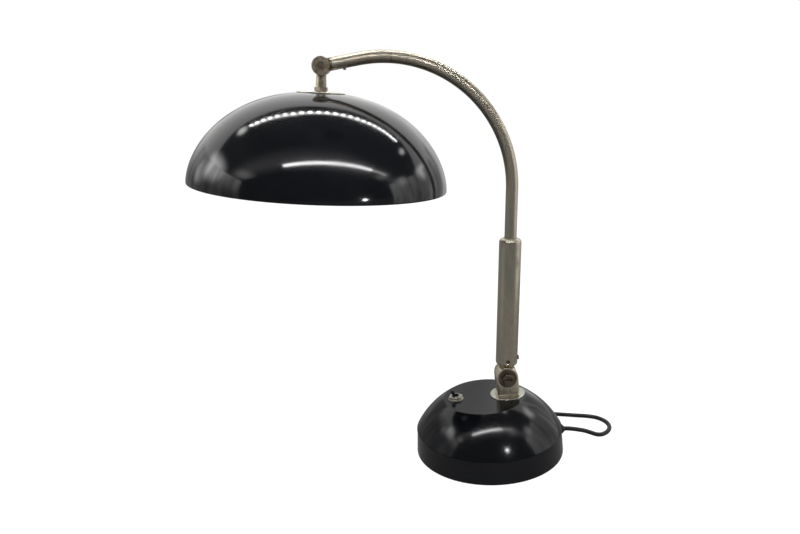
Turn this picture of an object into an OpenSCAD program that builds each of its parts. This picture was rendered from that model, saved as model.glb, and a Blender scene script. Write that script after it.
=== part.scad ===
// Dome shade desk lamp.
// Millimetres, +Z up. The origin is the middle of the felt under the base.
// The arm and the shade reach out towards -X, and every hinge turns about +Y.

/* [Base] */
// Radius of the base at its foot
base_r = 81; // [76:1:96]
// Height of the crease where the skirt ends and the dome starts
crease_h = 26.5; // [20:0.5:34]
// How far the skirt tapers in from the foot to the crease
skirt_taper = 1.4; // [0.5:0.1:4]
// How far the dome's lip stands out over the skirt
lip_step = 0.5; // [0.2:0.1:1]
// How much wider than the foot the ball is that the dome is part of
dome_more = 10; // [6:1:20]
// Height of the flat at its middle
flat_h = 62.5; // [56:0.5:68]
// How far in front of the middle the flat's own middle lies
flat_forward = 3.8; // [0:0.2:8]
// Slope of the flat, lower at the front, in degrees
flat_tilt = 2.8; // [0:0.1:5]
// Wall of the base shell
base_wall = 1.5; // [1:0.1:2.5]
// Height of the shell's edge over the table
foot_gap = 0.8; // [0.4:0.1:1.5]
// Thickness of the felt
felt_t = 2; // [1:0.5:4]
// Thickness of the closing plate
plate_t = 1.5; // [1:0.5:3]
// Thickness of the cast weight's floor
ballast_floor = 12; // [8:1:16]
// Breadth of the cast weight's raised rim
ballast_rim = 16; // [10:1:24]

/* [Hinge] */
// Distance of the hinge foot behind the middle of the base
foot_x = 22; // [16:0.5:26]
// Height of the hinge pin over the flat
hinge_h = 22.5; // [20:0.5:28]
// Radius of the hinge ears
ear_r = 11.85; // [10:0.05:14]
// Width of the foot across both ears
foot_w = 22; // [18:0.5:26]
// Thickness of the tongue between the ears
tongue_t = 7.6; // [5:0.1:9]
// Gap beside the tongue, on each side
tongue_gap = 0.2; // [0.1:0.05:0.5]
// Diameter of the hinge bolt
bolt_d = 8; // [6:0.5:9]
// Diameter of the hinge bolt's head
bolt_head_d = 11.7; // [10:0.1:14]
// Diameter of the washers on the hinge bolt
washer_d = 20; // [16:0.5:21]
// Diameter of the disc under the foot
escutcheon_d = 38; // [30:1:40]
// Diameter of the threaded tube that holds the foot down
stud_d = 10; // [8:0.5:12]

/* [Arm] */
// Lean of the lower arm away from the shade, in degrees
arm_lean = 3.06; // [0:0.02:6]
// Outer diameter of the sleeve
sleeve_d = 23.4; // [21:0.1:26]
// Height of the sleeve's lower end over the hinge pin
sleeve_start = 13; // [12.5:0.5:16]
// Length of the sleeve
sleeve_l = 140; // [100:5:160]
// Wall of the sleeve
sleeve_wall = 1.6; // [1.2:0.1:2.4]
// Outer diameter of the bent tube
tube_d = 12.7; // [11:0.1:14]
// Wall of the bent tube
tube_wall = 1; // [0.8:0.1:1.5]
// Distance from the hinge pin to the start of the bend
post_l = 204.2; // [190:0.2:260]
// Radius of the bend at the middle of the tube
bend_r = 131.3; // [100:0.1:150]
// Angle of the bend, in degrees
bend_angle = 100.06; // [90:0.02:110]
// Distance from the end of the bend to the knuckle
tip_l = 37.6; // [30:0.2:60]
// How far the arm turns in the sleeve to each side, in degrees
turn_stop = 150; // [60:5:155]

/* [Knuckle] */
// Diameter of the two knuckle discs
knuckle_d = 18; // [15:0.5:22]
// Thickness of the knuckle across both discs
knuckle_t = 17.6; // [14:0.2:20]
// Diameter of the knuckle bolt
pin_d = 5; // [4:0.5:6]
// Diameter of the stem under the knuckle
stem_d = 9.7; // [8:0.1:12]

/* [Shade] */
// Tilt of the shade at rest, rim outwards, in degrees
shade_tilt = 6.4; // [0:0.2:20]
// Radius of the shade at its rim
shade_r = 131; // [110:1:150]
// Depth of the shade from its top to its rim
shade_depth = 91.6; // [80:0.2:110]
// Fullness of the shade's side: 2 is an ellipse, more is squarer
shade_full = 2.25; // [2:0.05:3]
// Flatness of the shade's top: 2 is an ellipse, less is more pointed
shade_crown = 1.73; // [1.5:0.01:2.2]
// Wall of the shade
shade_wall = 1; // [0.8:0.1:1.6]
// Distance from the knuckle to the shade's top
shade_drop = 25; // [24:0.5:32]
// Diameter of the disc on the shade's top
top_disc_d = 48.7; // [36:0.1:60]
// Diameter of the bulb
bulb_d = 45; // [40:1:60]
// Length of the bulb, contact to tip
bulb_l = 78; // [70:1:90]

/* [Switch] */
// Distance of the switch in front of the middle of the base
switch_forward = 35.1; // [30:0.5:38]
// Width of the switch nut across its flats
switch_nut_af = 13.5; // [12:0.5:16]
// Lean of the switch lever at rest, in degrees
lever_lean = 12; // [8:1:15]

/* [Cord] */
// Diameter of the cord
cord_d = 4.8; // [4:0.2:5]
// Height of the cord's hole in the skirt
cord_h = 17.5; // [16:0.5:19]
// Gap between neighbouring turns of the coil
coil_gap = 0.45; // [0.45:0.05:0.6]

/* [Hidden] */
$fn = 48;
big = 400;

// Clearances: a turning fit, a push fit, a bolt hole and a seat that only rests
run = 0.05;
push = 0.05;
hole = 0.15;
rest = 0.3;
// Overlap of the shapes that one piece is made of
lap = 0.01;

// Base
dome_r = base_r + dome_more;
dome_z = crease_h - sqrt(pow(dome_r, 2) - pow(base_r - skirt_taper + lip_step, 2));
dome_in = dome_r - base_wall;
plate_z = felt_t;
ballast_z = plate_z + plate_t;
ballast_r = base_r - skirt_taper - base_wall - 2;
ballast_bed = ballast_z + ballast_floor;
rim_z = crease_h + 2;
rim_top = rim_z + 5.5;
skirt_in = base_r - base_wall;
function flat_z(x) = flat_h + (x + flat_forward) * tan(flat_tilt);
// Radius of the dome's inside at height z
function dome_inside(z) = sqrt(pow(dome_in, 2) - pow(z - dome_z, 2));

// Foot and hinge
escutcheon_t = 1.2;
slot_w = tongue_t + 2 * tongue_gap;
tongue_r = ear_r - 0.35;
slot_floor = hinge_h - tongue_r - 1.2;
washer_t = 1.2;
bolt_head_t = 3;
nut_af = bolt_d * 1.625;
nut_t = bolt_d * 0.8;
hinge_x = foot_x - hinge_h * sin(flat_tilt);
hinge_z = flat_z(foot_x) + hinge_h * cos(flat_tilt);
stud_low = ballast_z + 3;
stud_top = slot_floor - 1.5;
foot_base = escutcheon_t;
stud_nut_af = stud_d * 1.5;
stud_nut_t = 4;
stud_washer_d = 24;
stud_washer_t = 1.5;

// Arm
sleeve_r = sleeve_d / 2;
sleeve_bore = sleeve_r - sleeve_wall;
sleeve_end = sleeve_start + sleeve_l;
sleeve_shoulder = 4.5;
sleeve_toe = 3;
neck_r = sleeve_bore - 2.1;
plug_top = sleeve_start + 27;
thrust_t = 1;
tube_r = tube_d / 2;
tube_in = tube_r - tube_wall;
tube_foot = plug_top + thrust_t;
// The bend is drawn this much slimmer than the straight tube
bend_thin = 0.02;
collar_z = tube_foot + 8;
collar_t = 10;
// Half the angle that each of the two lugs takes, with 1 degree to spare
lug_half = (180 - turn_stop) / 2 - 0.5;
bush_l = 18;
bush_top = sleeve_end - 5;
screw_w = sleeve_start + 5.6;
// Middle of the bend and the knuckle, on the XZ plane
bend_start = [hinge_x + post_l * sin(arm_lean), hinge_z + post_l * cos(arm_lean)];
bend_mid = bend_start + bend_r * [-cos(arm_lean), sin(arm_lean)];
tip_angle = 90 - arm_lean + bend_angle;
bend_end = bend_mid + bend_r * [sin(tip_angle), -cos(tip_angle)];
knuckle_x = bend_end[0] + tip_l * cos(tip_angle);
knuckle_z = bend_end[1] + tip_l * sin(tip_angle);
tip_slope = tip_angle - 180;

// Knuckle
knuckle_r = knuckle_d / 2;
knuckle_half = knuckle_t / 2;
knuckle_gap = 0.2;
knuckle_clear = 0.4;
shank_end = knuckle_r + 2.3;
shank_plug_l = 13;
sink_d = 8;
sink_t = 2.6;
stem_r = stem_d / 2;
stem_foot = 19.6;
stem_low = 34;
wire_d = 3.6;

// Shade: heights are measured down from the knuckle
stem_nut_af = 12.6;
top_disc_t = 0.8;
stem_nut_low = shade_drop - top_disc_t;
stem_nut_t = 4;
shade_rim = shade_drop + shade_depth;
shade_under = shade_drop + shade_wall;
lock_t = 3;
lock_z = shade_under + rest;
holder_r = 19.5;
holder_top = lock_z + lock_t + rest;
holder_split = holder_top + 18;
bulb_tip = shade_rim + 10;
bulb_base = bulb_tip - bulb_l;
holder_low = bulb_base + 30;
holder_wall = 2.4;
cap_r = 13.2;
cap_l = 24;
cap_wall = 0.8;
glass_wall = 0.8;
neck_l = bulb_tip - bulb_d / 2 - bulb_base - cap_l - push;
shade_steps = 26;

// Switch: heights are measured up from the flat
lever_pivot = -6;
lever_r = 1.5;
lever_tip_r = 2.3;
lever_l = 17.2;
barrel_d = 10.4;
barrel_top = 4.2;
switch_nut_t = 2.6;
switch_block = [27, 17, 20];
switch_top = -base_wall - 1;

// Cord
cord_r = cord_d / 2;
grommet_r = 5.2;
grommet_neck = 4;
grommet_nose = base_r + 3;
clamp_x = 50;
clamp_pitch = 14;
coil_x = 13;
coil_y = 127;
coil_lift = 0.7;
// Turns in each of the coil's two layers
coil_turns = 3.75;
// Straight stretch at each end of the coil
coil_lead = 6;
tie_t = 0.5;
tie_w = 6;
coil_pitch = cord_d + coil_gap;
coil_out = 39;
coil_in = coil_out - coil_turns * coil_pitch;
coil_start = -105.6;
coil_heading = [sin(coil_start), -cos(coil_start), 0];
rings_per_turn = 24;
coil_low = coil_lift + cord_r;
// Plug with two flat blades
plug_l = 25;
plug_w = 22;
plug_t = 12.6;
plug_neck_w = 12;
plug_shoulder = 10;
blade_l = 17;
blade_w = 6.35;
blade_t = 1.5;
blade_pitch = 12.7;
// Cores inside the base
lead_r = 1.1;

// Route of the free cord, from the grommet to the coil
cord_route = [
    [84, 0, 17.5], [88, 0, 17.5], [95, 1.3, 15.8], [102, 3.5, 13.3], [109, 5.4, 10.6],
    [116, 6.4, 7.4], [122.5, 7, 4.6], [129, 8.8, 3.3], [135.5, 13.4, 3.1], [140, 19.5, 3.1],
    [142.6, 27, 3.1], [142.6, 35.6, 3.1], [139.6, 43.8, 3.1], [134, 50.5, 3.1], [125, 55.3, 3.1],
    [113, 58.6, 3.1], [100, 62.2, 3.1], [87, 65.9, 3.1], [74, 69.5, 3.1], [61, 73.1, 3.1],
    [48, 76.7, 3.1], [35, 80.3, 3.1], [22, 83.9, 3.1], coil_entry(coil_lead)];
// Points in the plane of the coil: the angle runs clockwise from the start
function coil_point(a, r, z) = [coil_x + r * cos(coil_start - a), coil_y + r * sin(coil_start - a), z];
function coil_entry(s) = coil_point(0, coil_out, coil_low) - s * coil_heading;
function coil_end(s) = coil_point(0, coil_out, coil_low + coil_pitch) + s * coil_heading;
// Winding in at the floor, up a layer in half a turn, and out again
layer_rings = round(coil_turns * rings_per_turn);
climb_rings = rings_per_turn / 2;
coil_route = concat(
    [coil_entry(coil_lead)],
    [for (i = [0 : layer_rings - 1])
        coil_point(360 * i / rings_per_turn, coil_out - coil_pitch * i / rings_per_turn, coil_low)],
    [for (i = [0 : climb_rings])
        coil_point(360 * (coil_turns + i / rings_per_turn),
            coil_in - coil_pitch * min(i, climb_rings - i) / rings_per_turn,
            coil_low + coil_pitch * (1 - cos(180 * i / climb_rings)) / 2)],
    [for (i = [1 : layer_rings])
        coil_point(360 * (coil_turns + 0.5 + i / rings_per_turn),
            coil_in + coil_pitch * i / rings_per_turn, coil_low + coil_pitch)],
    [coil_end(coil_lead)]);
coil_gap_min = min([for (i = [0 : len(coil_route) - 1])
    for (j = [i + climb_rings + 4 : 1 : len(coil_route) - 1])
        norm(coil_route[i] - coil_route[j]) - cord_d]);
echo(coil_least_gap = coil_gap_min);
// Route of one core, on the side of +Y
lead_route = [[44, 1.2, 17.5], [40, 1.6, 17.5], [33, 4, 17.4], [18, 9, 17.2], [0, 10, 17.2],
    [-18, 8, 17.4], [-28, 5, 20], [-32, 2.5, 27], [-33.5, 2, 33], [-34, 2, 36.4]];
// From the coil to the plug
plug_turn = 192;
plug_start = [-20.8, 90.9, plug_t / 2 + 0.1];
tail_route = [coil_end(coil_lead), coil_end(8.4), [-8.8, 92.2, 8.15], [-12.1, 92.35, 7.5],
    [-15.4, 92.05, 6.75], plug_start + [-4.8 * cos(plug_turn), -4.8 * sin(plug_turn), 0.05], plug_start];

// ---- Frames ----

// Upright on the flat at distance x from the middle of the base
module on_flat(x) {
    translate([x, 0, flat_z(x)]) rotate([0, -flat_tilt, 0]) children();
}

// At the hinge pin, with +Z along the lower arm
module on_arm() {
    translate([hinge_x, 0, hinge_z]) rotate([0, arm_lean, 0]) children();
}

// At the knuckle, with +X back along the arm's tip
module on_tip() {
    translate([knuckle_x, 0, knuckle_z]) rotate([0, -tip_slope, 0]) children();
}

// At the knuckle, with +Z up through the shade
module on_shade() {
    translate([knuckle_x, 0, knuckle_z]) rotate([0, shade_tilt, 0]) children();
}

// ---- Shapes that repeat ----

// Turned bar from z0 to z1 with rounded edges e0 below and e1 above
module turned(r, z0, z1, e0 = 0, e1 = 0) {
    rotate_extrude() {
        translate([0, z0 + e0]) square([r, z1 - z0 - e0 - e1]);
        if (e0 > 0) {
            translate([0, z0]) square([r - e0, e0 + lap]);
            translate([r - e0, z0 + e0]) circle(e0);
        }
        if (e1 > 0) {
            translate([0, z1 - e1 - lap]) square([r - e1, e1 + lap]);
            translate([r - e1, z1 - e1]) circle(e1);
        }
    }
}

// Cylinder along +Y from y0 to y1
module bar_y(r, y0, y1) {
    translate([0, y0, 0]) rotate([-90, 0, 0]) cylinder(r = r, h = y1 - y0);
}

// Cylinder along +X from x0 to x1
module bar_x(r, x0, x1) {
    translate([x0, 0, 0]) rotate([0, 90, 0]) cylinder(r = r, h = x1 - x0);
}

// Hexagon nut, flat on z = 0, with a bore
module hex_nut(af, t, bore) {
    difference() {
        cylinder(d = af / cos(30), h = t, $fn = 6);
        translate([0, 0, -1]) cylinder(r = bore, h = t + 2);
    }
}

module ring(r, bore, z0, z1) {
    difference() {
        translate([0, 0, z0]) cylinder(r = r, h = z1 - z0);
        translate([0, 0, z0 - 1]) cylinder(r = bore, h = z1 - z0 + 2);
    }
}

module rounded_plan(w, d, r) {
    square([w - 2 * r, d], center = true);
    square([w, d - 2 * r], center = true);
    for (x = [-1, 1], y = [-1, 1]) translate([x * (w / 2 - r), y * (d / 2 - r)]) circle(r);
}

function unit(v) = v / norm(v);
function along(p, i) = unit(p[min(i + 1, len(p) - 1)] - p[max(i - 1, 0)]);

// Tube swept along a route of points that never runs parallel to ref
module swept_tube(route, r, sides, ref = [0, 0, 1]) {
    n = len(route);
    points = [for (i = [0 : n - 1])
        let (t = along(route, i), s = unit(cross(t, ref)), u = cross(s, t))
        for (k = [0 : sides - 1])
            route[i] + r * (cos(360 * (k + 0.5) / sides) * s + sin(360 * (k + 0.5) / sides) * u)];
    walls = [for (i = [0 : n - 2], k = [0 : sides - 1])
        let (a = i * sides + k, b = i * sides + (k + 1) % sides)
        each [[a, b, b + sides], [a, b + sides, a + sides]]];
    polyhedron(points, concat([[for (k = [sides - 1 : -1 : 0]) k]], walls,
        [[for (k = [0 : sides - 1]) (n - 1) * sides + k]]));
}

// ---- Base ----

// Everything under the flat, raised or lowered by d
module under_flat(d) {
    on_flat(0) translate([-big / 2, -big / 2, d - big]) cube([big, big, big]);
}

module dome_solid(r, z0, d) {
    intersection() {
        translate([0, 0, dome_z]) sphere(r);
        translate([0, 0, z0]) cylinder(r = base_r, h = dome_r);
        under_flat(d);
    }
}

module base_shell() color("black") difference() {
    union() {
        dome_solid(dome_r, crease_h, 0);
        translate([0, 0, foot_gap])
            cylinder(r1 = base_r, r2 = base_r - skirt_taper, h = crease_h - foot_gap + lap);
    }
    dome_solid(dome_in, crease_h - lap, -base_wall);
    translate([0, 0, foot_gap - 1])
        cylinder(r1 = skirt_in, r2 = skirt_in - skirt_taper, h = crease_h - foot_gap + 1);
    on_flat(foot_x) translate([0, 0, -10]) cylinder(r = stud_d / 2 + hole, h = 20);
    on_flat(-switch_forward) translate([0, 0, -10]) cylinder(r = barrel_d / 2 + hole, h = 20);
    translate([base_r - 10, 0, cord_h]) bar_x(grommet_neck + push, 0, 20);
}

module base_ballast() color("dimgray") difference() {
    rotate_extrude() polygon([
        [0, ballast_z], [ballast_r, ballast_z], [ballast_r, rim_z],
        [dome_inside(rim_top) - rest - 0.4, rim_top], [dome_inside(rim_top) - 9, rim_top],
        [ballast_r - ballast_rim, ballast_bed], [0, ballast_bed]]);
    on_flat(foot_x) translate([0, 0, -flat_h]) cylinder(r = stud_d / 2 + hole, h = flat_h);
    on_flat(foot_x) translate([0, 0, -flat_h]) cylinder(r = 12, h = ballast_z + 8);
    translate([ballast_r - ballast_rim - 6, -7, cord_h - 6]) cube([ballast_rim + 12, 14, 40]);
    translate([0, 0, cord_h]) bar_x(cord_r + rest, 40, big);
    screw_places() translate([0, 0, -lap]) cylinder(r = 2 + push, h = 9);
    clamp_places() translate([0, 0, ballast_bed - 6]) cylinder(r = 1.5, h = 10);
}

module base_plate() color("gray") difference() {
    translate([0, 0, plate_z]) cylinder(r = skirt_in - 0.6, h = plate_t);
    screw_places() translate([0, 0, -10]) cylinder(r = 2 + hole, h = 20);
}

module base_felt() color("darkgreen") cylinder(r = skirt_in - 3, h = felt_t - run);

// The three screws that hold the plate to the weight
module screw_places() {
    for (a = [60, 180, 300]) rotate(a) translate([ballast_r - ballast_rim / 2, 0, ballast_z]) children();
}

module base_screws() color("silver") screw_places()
    translate([0, 0, -plate_t]) cylinder(r = 2, h = plate_t + 8);

// ---- Foot and hinge ----

module escutcheon() color("silver") on_flat(foot_x) difference() {
    turned(escutcheon_d / 2, 0, escutcheon_t, 0, escutcheon_t / 2);
    translate([0, 0, -1]) cylinder(r = stud_d / 2 + hole, h = 4);
}

module foot_outline() {
    translate([0, hinge_h]) circle(ear_r);
    translate([-ear_r, foot_base]) square([2 * ear_r, hinge_h - foot_base]);
}

module foot_clevis() color("tan") on_flat(foot_x) difference() {
    union() {
        intersection() {
            rotate([90, 0, 0]) linear_extrude(foot_w, center = true) foot_outline();
            linear_extrude(big) rounded_plan(2 * ear_r + 1, foot_w, 2.5);
        }
        translate([0, 0, foot_base]) linear_extrude(2) rounded_plan(2 * ear_r + 1.6, foot_w + 1, 3);
    }
    translate([-big / 2, -slot_w / 2, slot_floor]) cube([big, slot_w, big]);
    translate([0, -foot_w, hinge_h]) bar_y(bolt_d / 2 + push, 0, 2 * foot_w);
    translate([0, 0, -1]) cylinder(r = stud_d / 2 + push, h = stud_top + 1);
    translate([0, 0, -1]) cylinder(r = stud_d / 2 - 1.5, h = big);
}

module foot_stud() color("goldenrod") on_flat(foot_x) difference() {
    translate([0, 0, stud_low - flat_z(foot_x)])
        cylinder(d = stud_d, h = stud_top - stud_low + flat_z(foot_x));
    translate([0, 0, -big / 2]) cylinder(r = stud_d / 2 - 1.5, h = big);
}

module foot_nuts() color("silver") on_flat(foot_x) {
    ring(stud_washer_d / 2, stud_d / 2 + push, -base_wall - stud_washer_t, -base_wall);
    translate([0, 0, -base_wall - stud_washer_t - stud_nut_t])
        hex_nut(stud_nut_af, stud_nut_t, stud_d / 2 + push);
    translate([0, 0, ballast_z + 8 - flat_h - stud_nut_t])
        hex_nut(stud_nut_af, stud_nut_t, stud_d / 2 + push);
}

module on_hinge() {
    on_flat(foot_x) translate([0, 0, hinge_h]) children();
}

module hinge_bolt() color("dimgray") on_hinge() {
    face = foot_w / 2 + washer_t;
    difference() {
        rotate([90, 0, 0]) turned(bolt_head_d / 2, face, face + bolt_head_t, 0, 0.6);
        translate([-bolt_head_d, -face - bolt_head_t - 1, -0.6]) cube([2 * bolt_head_d, 2.2, 1.2]);
    }
    bar_y(bolt_d / 2, -face - lap, face + nut_t + 1.8);
}

module hinge_washers() color("dimgray") on_hinge() {
    for (side = [-1, 1]) translate([0, side * (foot_w + washer_t) / 2, 0]) rotate([90, 0, 0])
        ring(washer_d / 2, bolt_d / 2 + push, -washer_t / 2, washer_t / 2);
}

module hinge_nut() color("dimgray") on_hinge() {
    translate([0, foot_w / 2 + washer_t, 0]) rotate([-90, 0, 0]) hex_nut(nut_af, nut_t, bolt_d / 2 + push);
}

// ---- Switch ----

module switch_body() color("saddlebrown") on_flat(-switch_forward) difference() {
    translate([-switch_block[0] / 2, -switch_block[1] / 2, switch_top - switch_block[2]])
        cube(switch_block);
    translate([0, 0, -11 - lap]) cylinder(r = barrel_d / 2 + push, h = 20);
    translate([0, 0, -15]) cylinder(r = 4, h = 8);
}

module switch_bush() color("silver") on_flat(-switch_forward) difference() {
    union() {
        translate([0, 0, -11]) cylinder(d = barrel_d, h = 11 + barrel_top);
        translate([0, 0, switch_top]) cylinder(r = 7.4, h = -base_wall - switch_top);
    }
    translate([0, 0, lever_pivot]) cylinder(r1 = 3.6, r2 = 4.2, h = barrel_top - lever_pivot + lap);
    translate([0, 0, -12]) cylinder(r = 3.6, h = 13 + lever_pivot);
}

module switch_nut() color("silver") on_flat(-switch_forward) difference() {
    union() {
        cylinder(r = 8.2, h = 0.5);
        rotate(12) cylinder(d = switch_nut_af / cos(30), h = 0.5 + switch_nut_t, $fn = 6);
    }
    translate([0, 0, -1]) cylinder(r = barrel_d / 2 + push, h = 10);
}

module switch_lever() color("black") on_flat(-switch_forward) translate([0, 0, lever_pivot])
    rotate([0, -lever_lean, 0]) {
        sphere(3.4);
        cylinder(r = lever_r, h = 11);
        translate([0, 0, 10]) cylinder(r1 = lever_r, r2 = lever_tip_r, h = lever_l - 10 - lever_tip_r);
        translate([0, 0, lever_l - lever_tip_r]) sphere(lever_tip_r);
        translate([0, 0, -7.4]) cylinder(r = 1.2, h = 6);
    }

// ---- Lower arm ----

module hinge_tongue() color("tan") on_arm() difference() {
    union() {
        bar_y(tongue_r, -tongue_t / 2, tongue_t / 2);
        translate([-neck_r, -tongue_t / 2, 0]) cube([2 * neck_r, tongue_t, sleeve_start]);
        turned(neck_r, ear_r + 0.7, sleeve_start + sleeve_toe + 1, 0.8, 0);
        turned(sleeve_bore - push, sleeve_start + sleeve_toe + push, plug_top, 0, 1);
        wedge(180, plug_top - 1.5, collar_z - 1);
    }
    bar_y(bolt_d / 2 + run, -tongue_t, tongue_t);
    translate([0, 0, sleeve_start + 4]) cylinder(r = 3, h = big);
    sleeve_screw_places() translate([0, 0, -7]) cylinder(r = 1.6, h = 10);
}

// The two screws that hold the sleeve on the tongue: one at the front, one at the back
module sleeve_screw_places() {
    translate([0, -sleeve_r, screw_w]) rotate([90, 0, 0]) children();
    translate([sleeve_r, 0, screw_w + 2]) rotate([0, 90, 0]) children();
}

module sleeve_outline() {
    translate([0, sleeve_start + sleeve_toe])
        square([sleeve_r, sleeve_l - sleeve_toe - sleeve_shoulder]);
    translate([0, sleeve_start]) square([sleeve_r - sleeve_toe, sleeve_toe + lap]);
    translate([sleeve_r - sleeve_toe, sleeve_start + sleeve_toe]) circle(sleeve_toe);
    translate([0, sleeve_end - sleeve_shoulder - lap])
        square([sleeve_r - sleeve_shoulder, sleeve_shoulder + lap]);
    translate([sleeve_r - sleeve_shoulder, sleeve_end - sleeve_shoulder]) circle(sleeve_shoulder);
}

module sleeve() color("tan") on_arm() difference() {
    rotate_extrude() sleeve_outline();
    translate([0, 0, sleeve_start + sleeve_toe])
        cylinder(r = sleeve_bore, h = bush_top - sleeve_start - sleeve_toe);
    translate([0, 0, sleeve_start - 1]) cylinder(r = neck_r + push, h = 6);
    translate([0, 0, bush_top - 1]) cylinder(r = tube_r + hole, h = 20);
    sleeve_screw_places() translate([0, 0, -4]) cylinder(r = 1.6, h = 8);
    translate([0, -sleeve_r + 1.1, screw_w]) rotate([90, 0, 0]) cylinder(r1 = 1.6, r2 = 2.9, h = 1.2);
}

module sleeve_screws() color("dimgray") on_arm() {
    sleeve_screw_places() translate([0, 0, -6]) cylinder(r = 1.5, h = 5);
    translate([0, -sleeve_r + 1.2, screw_w]) rotate([90, 0, 0]) cylinder(r1 = 1.5, r2 = 2.2, h = 0.7);
    translate([sleeve_r - 1.2, 0, screw_w + 2]) rotate([0, 90, 0]) cylinder(r = 1.5, h = 1.4);
    translate([sleeve_r, 0, screw_w + 2]) rotate([0, 90, 0]) turned(2.5, 0, 1.4, 0, 0.5);
}

module sleeve_bush() color("goldenrod") on_arm()
    ring(sleeve_bore - push, tube_r + run, bush_top - bush_l, bush_top - push);

// Fibre washer that the arm's foot turns on
module thrust_washer() color("sienna") on_arm()
    ring(tube_r + rest, tube_in, plug_top + push, tube_foot - push);

// One of the two lugs that meet when the arm is turned all the way, at angle a
module wedge(a, z0, z1) {
    rotate(a) translate([0, 0, z0]) linear_extrude(z1 - z0) difference() {
        intersection() {
            circle(sleeve_bore - run);
            polygon([[0, 0], for (side = [-1, 1]) sleeve_r / cos(lug_half) * [cos(lug_half), side * sin(lug_half)]]);
        }
        circle(tube_r + rest);
    }
}

// ---- Upper arm ----

// Straight, bend and tip of a bar that lies e nearer the middle of the bend
module bent_bar(r, e, low, tip_end) {
    on_arm() translate([-e, 0, low]) cylinder(r = r, h = post_l - low + lap);
    translate([bend_mid[0], 0, bend_mid[1]]) rotate([90, arm_lean, 0])
        rotate_extrude(angle = bend_angle) translate([bend_r - e, 0]) circle(r - bend_thin);
    on_tip() translate([0, 0, -e]) bar_x(r, tip_end, tip_l + lap);
}

module arm_tube() color("tan") difference() {
    bent_bar(tube_r, 0, tube_foot, shank_end);
    bent_bar(tube_in, 0, tube_foot - 1, shank_end - 1);
    on_tip() grub_place() translate([0, 0, -4]) cylinder(r = 1.7, h = 8);
}

module arm_wire() color("black") bent_bar(wire_d / 2, tube_in - wire_d / 2 - rest, plug_top + 8, shank_end + shank_plug_l);

// Collar on the foot of the tube, with the lug that meets the stop
module arm_collar() color("silver") on_arm() {
    ring(sleeve_bore - run, tube_r + push, collar_z, collar_z + collar_t);
    wedge(0, collar_z - 3, collar_z + lap);
}

// The grub screw that holds the tip in the tube, on its underside
module grub_place() {
    translate([shank_end + 10.5, 0, -tube_r]) rotate([180, 0, 0]) children();
}

module arm_end() color("tan") on_tip() difference() {
    union() {
        bar_y(knuckle_r, knuckle_gap / 2, knuckle_half);
        intersection() {
            bar_x(tube_r, 0, shank_end);
            translate([0, knuckle_gap / 2, -big / 2]) cube([big, big, big]);
        }
        bar_x(tube_r, knuckle_r + knuckle_clear, shank_end);
        bar_x(tube_in - push, shank_end - lap, shank_end + shank_plug_l);
    }
    bar_y(pin_d / 2 + run, -1, knuckle_t);
    bar_x(2.6, knuckle_r + 1, big);
    grub_place() translate([0, 0, -6]) cylinder(r = 1.6, h = 5);
}

module arm_grub_screw() color("dimgray") on_tip() grub_place()
    translate([0, 0, -3.2]) turned(1.5, 0, 4.8, 0, 0.5);

// ---- Knuckle and stem ----

module shade_knuckle() color("tan") on_shade() difference() {
    union() {
        bar_y(knuckle_r, -knuckle_half, -knuckle_gap / 2);
        intersection() {
            translate([0, 0, -stem_foot]) cylinder(r = stem_r, h = stem_foot);
            translate([-big / 2, -big, -big]) cube([big, big - knuckle_gap / 2, big]);
        }
        translate([0, 0, -stem_foot])
            cylinder(r1 = stem_r + 0.5, r2 = stem_r, h = stem_foot - knuckle_r - knuckle_clear);
        translate([0, 0, -stem_low]) cylinder(r = stem_r, h = stem_low - stem_foot + lap);
    }
    bar_y(pin_d / 2 + push, -knuckle_t, 1);
    bar_y(sink_d / 2, -knuckle_half - 1, -knuckle_half + sink_t);
    translate([-0.8, -stem_r - 1, -stem_foot + 0.6]) cube([1.6, 2.6, stem_foot - knuckle_r - 1.2]);
    translate([0, 0, -stem_low - 1]) cylinder(r = 3, h = stem_low - knuckle_r);
}

module knuckle_bolt() color("dimgray") on_shade() {
    bar_y(pin_d / 2, -knuckle_half + sink_t - lap, knuckle_half + 6);
    bar_y(sink_d / 2 - 0.5, -knuckle_half + sink_t - 1.4, -knuckle_half + sink_t);
    bar_y(1.5, -knuckle_half + 0.4, -knuckle_half + sink_t);
}

module knuckle_nut() color("dimgray") on_shade() translate([0, knuckle_half + run, 0]) rotate([-90, 0, 0]) {
    ring(6.2, pin_d / 2 + push, 0, 1);
    translate([0, 0, 1]) hex_nut(8, 4, pin_d / 2 + push);
}

module stem_nut() color("tan") on_shade() translate([0, 0, -stem_nut_low])
    rotate(30) hex_nut(stem_nut_af, stem_nut_t, stem_r + push);

module shade_top_disc() color("silver") on_shade()
    ring(top_disc_d / 2, stem_r + push, -shade_drop, -stem_nut_low);

// ---- Shade ----

// Point of the shade's curve at parameter a, for a curve of radius r and height h
function shade_point(a, r, h) = [r * pow(cos(a), 2 / shade_full), h * pow(sin(a), 2 / shade_crown)];

// Area under the shade's curve
module shade_fill(r, h) {
    polygon(concat([[0, 0]],
        [for (i = [0 : shade_steps - 1]) shade_point(90 * i / shade_steps, r, h)], [[0, h]]));
}

module shade() color("black") on_shade() translate([0, 0, -shade_rim]) difference() {
    union() {
        rotate_extrude() shade_fill(shade_r, shade_depth);
        rotate_extrude() translate([shade_r - 1.2, 0.2]) circle(1.2);
    }
    translate([0, 0, -lap]) rotate_extrude() shade_fill(shade_r - shade_wall, shade_depth - shade_wall);
    translate([0, 0, -2]) cylinder(r = shade_r - 2.2, h = 2 + lap);
    cylinder(r = stem_r + hole, h = big);
}

module shade_lock_ring() color("silver") on_shade() translate([0, 0, -lock_z - lock_t])
    hex_nut(17, lock_t, stem_r + push);

// ---- Lampholder and bulb ----

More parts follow.
